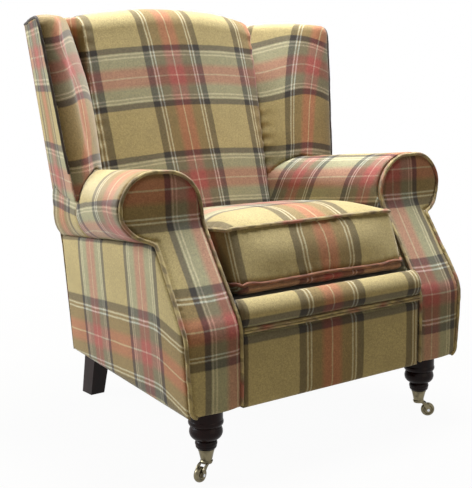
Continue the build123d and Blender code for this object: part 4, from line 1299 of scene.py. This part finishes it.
def make_lining():
    t, s = shares(50, 60)
    y = 0.0256 + (0.6785 - 0.0256) * t
    z = skirt_z(y) + 0.0003
    x = s * (side_x(y, z) - PANEL - CLEAR)
    rim = rim_gap(t, 1 - np.abs(s), 0.65, 0.3)
    z = z - 0.0020 * (1 - np.exp(-((rim / 0.12) ** 2)))
    face = [a[:, ::-1] for a in (x, y, z)]
    mesh = slab_mesh("under_lining", face, (0, 0, 1), 0.0008, 0.0)
    set_uv(mesh, points_of(mesh)[:, :2])
    obj = link("under_lining", mesh, UNDER_CLOTH)
    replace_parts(obj, "dust_cloth")


def make_webbing():
    """Straps woven over and under each other, tacked to the rails."""
    rail_top, width, thick, pitch = 0.308, 0.050, 0.0018, 0.112
    first, last, count = 0.029, 0.675, 80
    middle = (first + last) / 2
    lines = [pitch * (k - 1.5) for k in range(4)]
    section = np.array([(-1, -1), (1, -1), (1, 1), (-1, 1)]) / 2
    points, faces, uv = [], [], []
    for lengthways in (True, False):
        for k, line in enumerate(lines):
            start, end = first - middle, last - middle
            if not lengthways:
                reach = side_x(middle + line + width / 2, rail_top) - PANEL - 0.004
                end = min(reach, HALF + 0.028)
                start = -end
            run = np.linspace(start, end, count)
            lift = sum(
                (1 if (k + j) % 2 == lengthways else -1) * np.exp(-(((run - c) / 0.034) ** 2))
                for j, c in enumerate(lines)
            )
            z = rail_top + 0.0020 + 0.0011 * np.maximum(lift, -0.9)
            x, y = (0 * run + line, run) if lengthways else (run, 0 * run + line)
            centres = np.stack([x, y + middle - BACK, z], 1)
            ring = np.repeat(centres[:, None], 4, 1)
            ring[..., 0 if lengthways else 1] += section[:, 0] * width
            ring[..., 2] += section[:, 1] * thick
            faces += ring_faces(count, 4, base=4 * count * len(points))
            points.append(ring)
            across = np.tile(section[:, 0] + 0.5, count)
            uv.append(np.stack([across, np.repeat(lengths(centres), 4)], 1))
    mesh = new_mesh("woven_webbing", points, faces, 0)
    set_uv(mesh, np.concatenate(uv))
    obj = link("woven_webbing", mesh, WEBBING, smooth=False)
    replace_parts(obj, "seat_webbing")


make_back()
for side in ("left", "right"):
    make_arm(side)
    make_facing(side)
    make_side(side)
    make_wing(side)
make_outside_back()
make_front_panel()
make_border()
make_cushion()
make_deck()
make_lining()
make_webbing()


# ---- stage ----
def seen_white(n):
    """The strength 1 white that the camera, reflections and clear surfaces see."""
    path = n.add("ShaderNodeLightPath")
    seen = n.math("MAXIMUM", path.outputs["Is Camera Ray"], path.outputs["Is Glossy Ray"])
    return n.math("MAXIMUM", seen, path.outputs["Is Transmission Ray"])


FLOOR_WHITE = 0.96
AMBIENT = 0.07


def make_floor():
    n = material("pale_floor")
    n.shade(Base_Color=(0.34, 0.31, 0.25), Roughness=0.9, Specular_IOR_Level=0.1)
    glow = n.add("ShaderNodeEmission")
    glow.inputs["Color"].default_value = (1, 1, 1, 1)
    glow.inputs["Strength"].default_value = 1.0
    blend = n.add("ShaderNodeMixShader")
    far = n.add("ShaderNodeVectorMath", operation="LENGTH")
    n.link(n.place(), far.inputs[0])
    near = n.add("ShaderNodeMapRange")
    for socket, value in zip(near.inputs, (far.outputs["Value"], 0.7, 1.7, FLOOR_WHITE, 1.0)):
        n.put(socket, value)
    n.link(n.math("MULTIPLY", seen_white(n), near.outputs[0]), blend.inputs[0])
    n.link(n.shader.outputs[0], blend.inputs[1])
    n.link(glow.outputs[0], blend.inputs[2])
    n.link(blend.outputs[0], n.tree.nodes["Material Output"].inputs["Surface"])
    mesh = bpy.data.meshes.new("floor")
    mesh.from_pydata([(-9, -9, 0), (9, -9, 0), (9, 9, 0), (-9, 9, 0)], [], [(0, 1, 2, 3)])
    mesh.materials.append(n.owner)
    placed("floor", mesh)


def make_world():
    scene = bpy.context.scene
    scene.world = scene.world or bpy.data.worlds.new("studio")
    n = Nodes(scene.world)
    background = n.tree.nodes["Background"]
    background.inputs["Color"].default_value = (1, 1, 1, 1)
    level = n.math("MULTIPLY_ADD", seen_white(n), 1 - AMBIENT, AMBIENT)
    n.link(level, background.inputs["Strength"])


def lamp(name, place, aim, size, power, colour=(1, 1, 1)):
    data = bpy.data.lights.new(name, "AREA")
    data.shape = "RECTANGLE"
    data.size, data.size_y = size
    data.energy = power
    data.color = colour
    obj = placed(name, data)
    obj.location = place
    obj.rotation_euler = (Vector(aim) - Vector(place)).to_track_quat("-Z", "Y").to_euler()


VIEW = (-37.0, 9.0, -0.64)  # the camera's turn round the chair, its rise and its roll
STAND = (-1.405, -1.510, 0.778)
FOCAL, LONG_SIDE, SENSOR = 999.0, 488.0, 36.0  # in the photograph's pixels, and in mm


def make_camera():
    azimuth, rise, roll = (math.radians(a) for a in VIEW)
    level = math.cos(rise)
    back = Vector((math.sin(azimuth) * level, -math.cos(azimuth) * level, math.sin(rise)))
    right = Vector((math.cos(azimuth), math.sin(azimuth), 0.0))
    up = back.cross(right)
    across = right * math.cos(roll) + up * math.sin(roll)
    above = up * math.cos(roll) - right * math.sin(roll)
    data = bpy.data.cameras.new("view")
    data.sensor_width = SENSOR
    data.sensor_fit = "AUTO"
    data.lens = FOCAL * SENSOR / LONG_SIDE
    camera = placed("view", data)
    pose = Matrix((across, above, back)).transposed().to_4x4()
    pose.translation = Vector(row_frame(STAND))
    camera.matrix_world = pose
    bpy.context.scene.camera = camera


make_floor()
make_world()
lamp("overhead", (0.28, 0.10, 2.9), (-0.05, -0.1, 0.5), (1.2, 0.9), 170.0, (0.95, 1.0, 1.10))
lamp("left_window", (-2.5, 1.9, 1.9), (-0.2, 0.0, 0.5), (1.6, 1.6), 142.0, (0.95, 1.0, 1.09))
lamp("front_fill", (0.6, -3.4, 1.3), (0.0, 0.0, 0.5), (2.2, 1.6), 11.0, (1.0, 0.88, 0.64))
lamp("rear_fill", (1.6, 3.0, 1.6), (0.0, 0.0, 0.5), (2.0, 1.6), 16.0)
make_camera()
bpy.context.scene.view_settings.view_transform = "Standard"

bpy.context.view_layer.update()
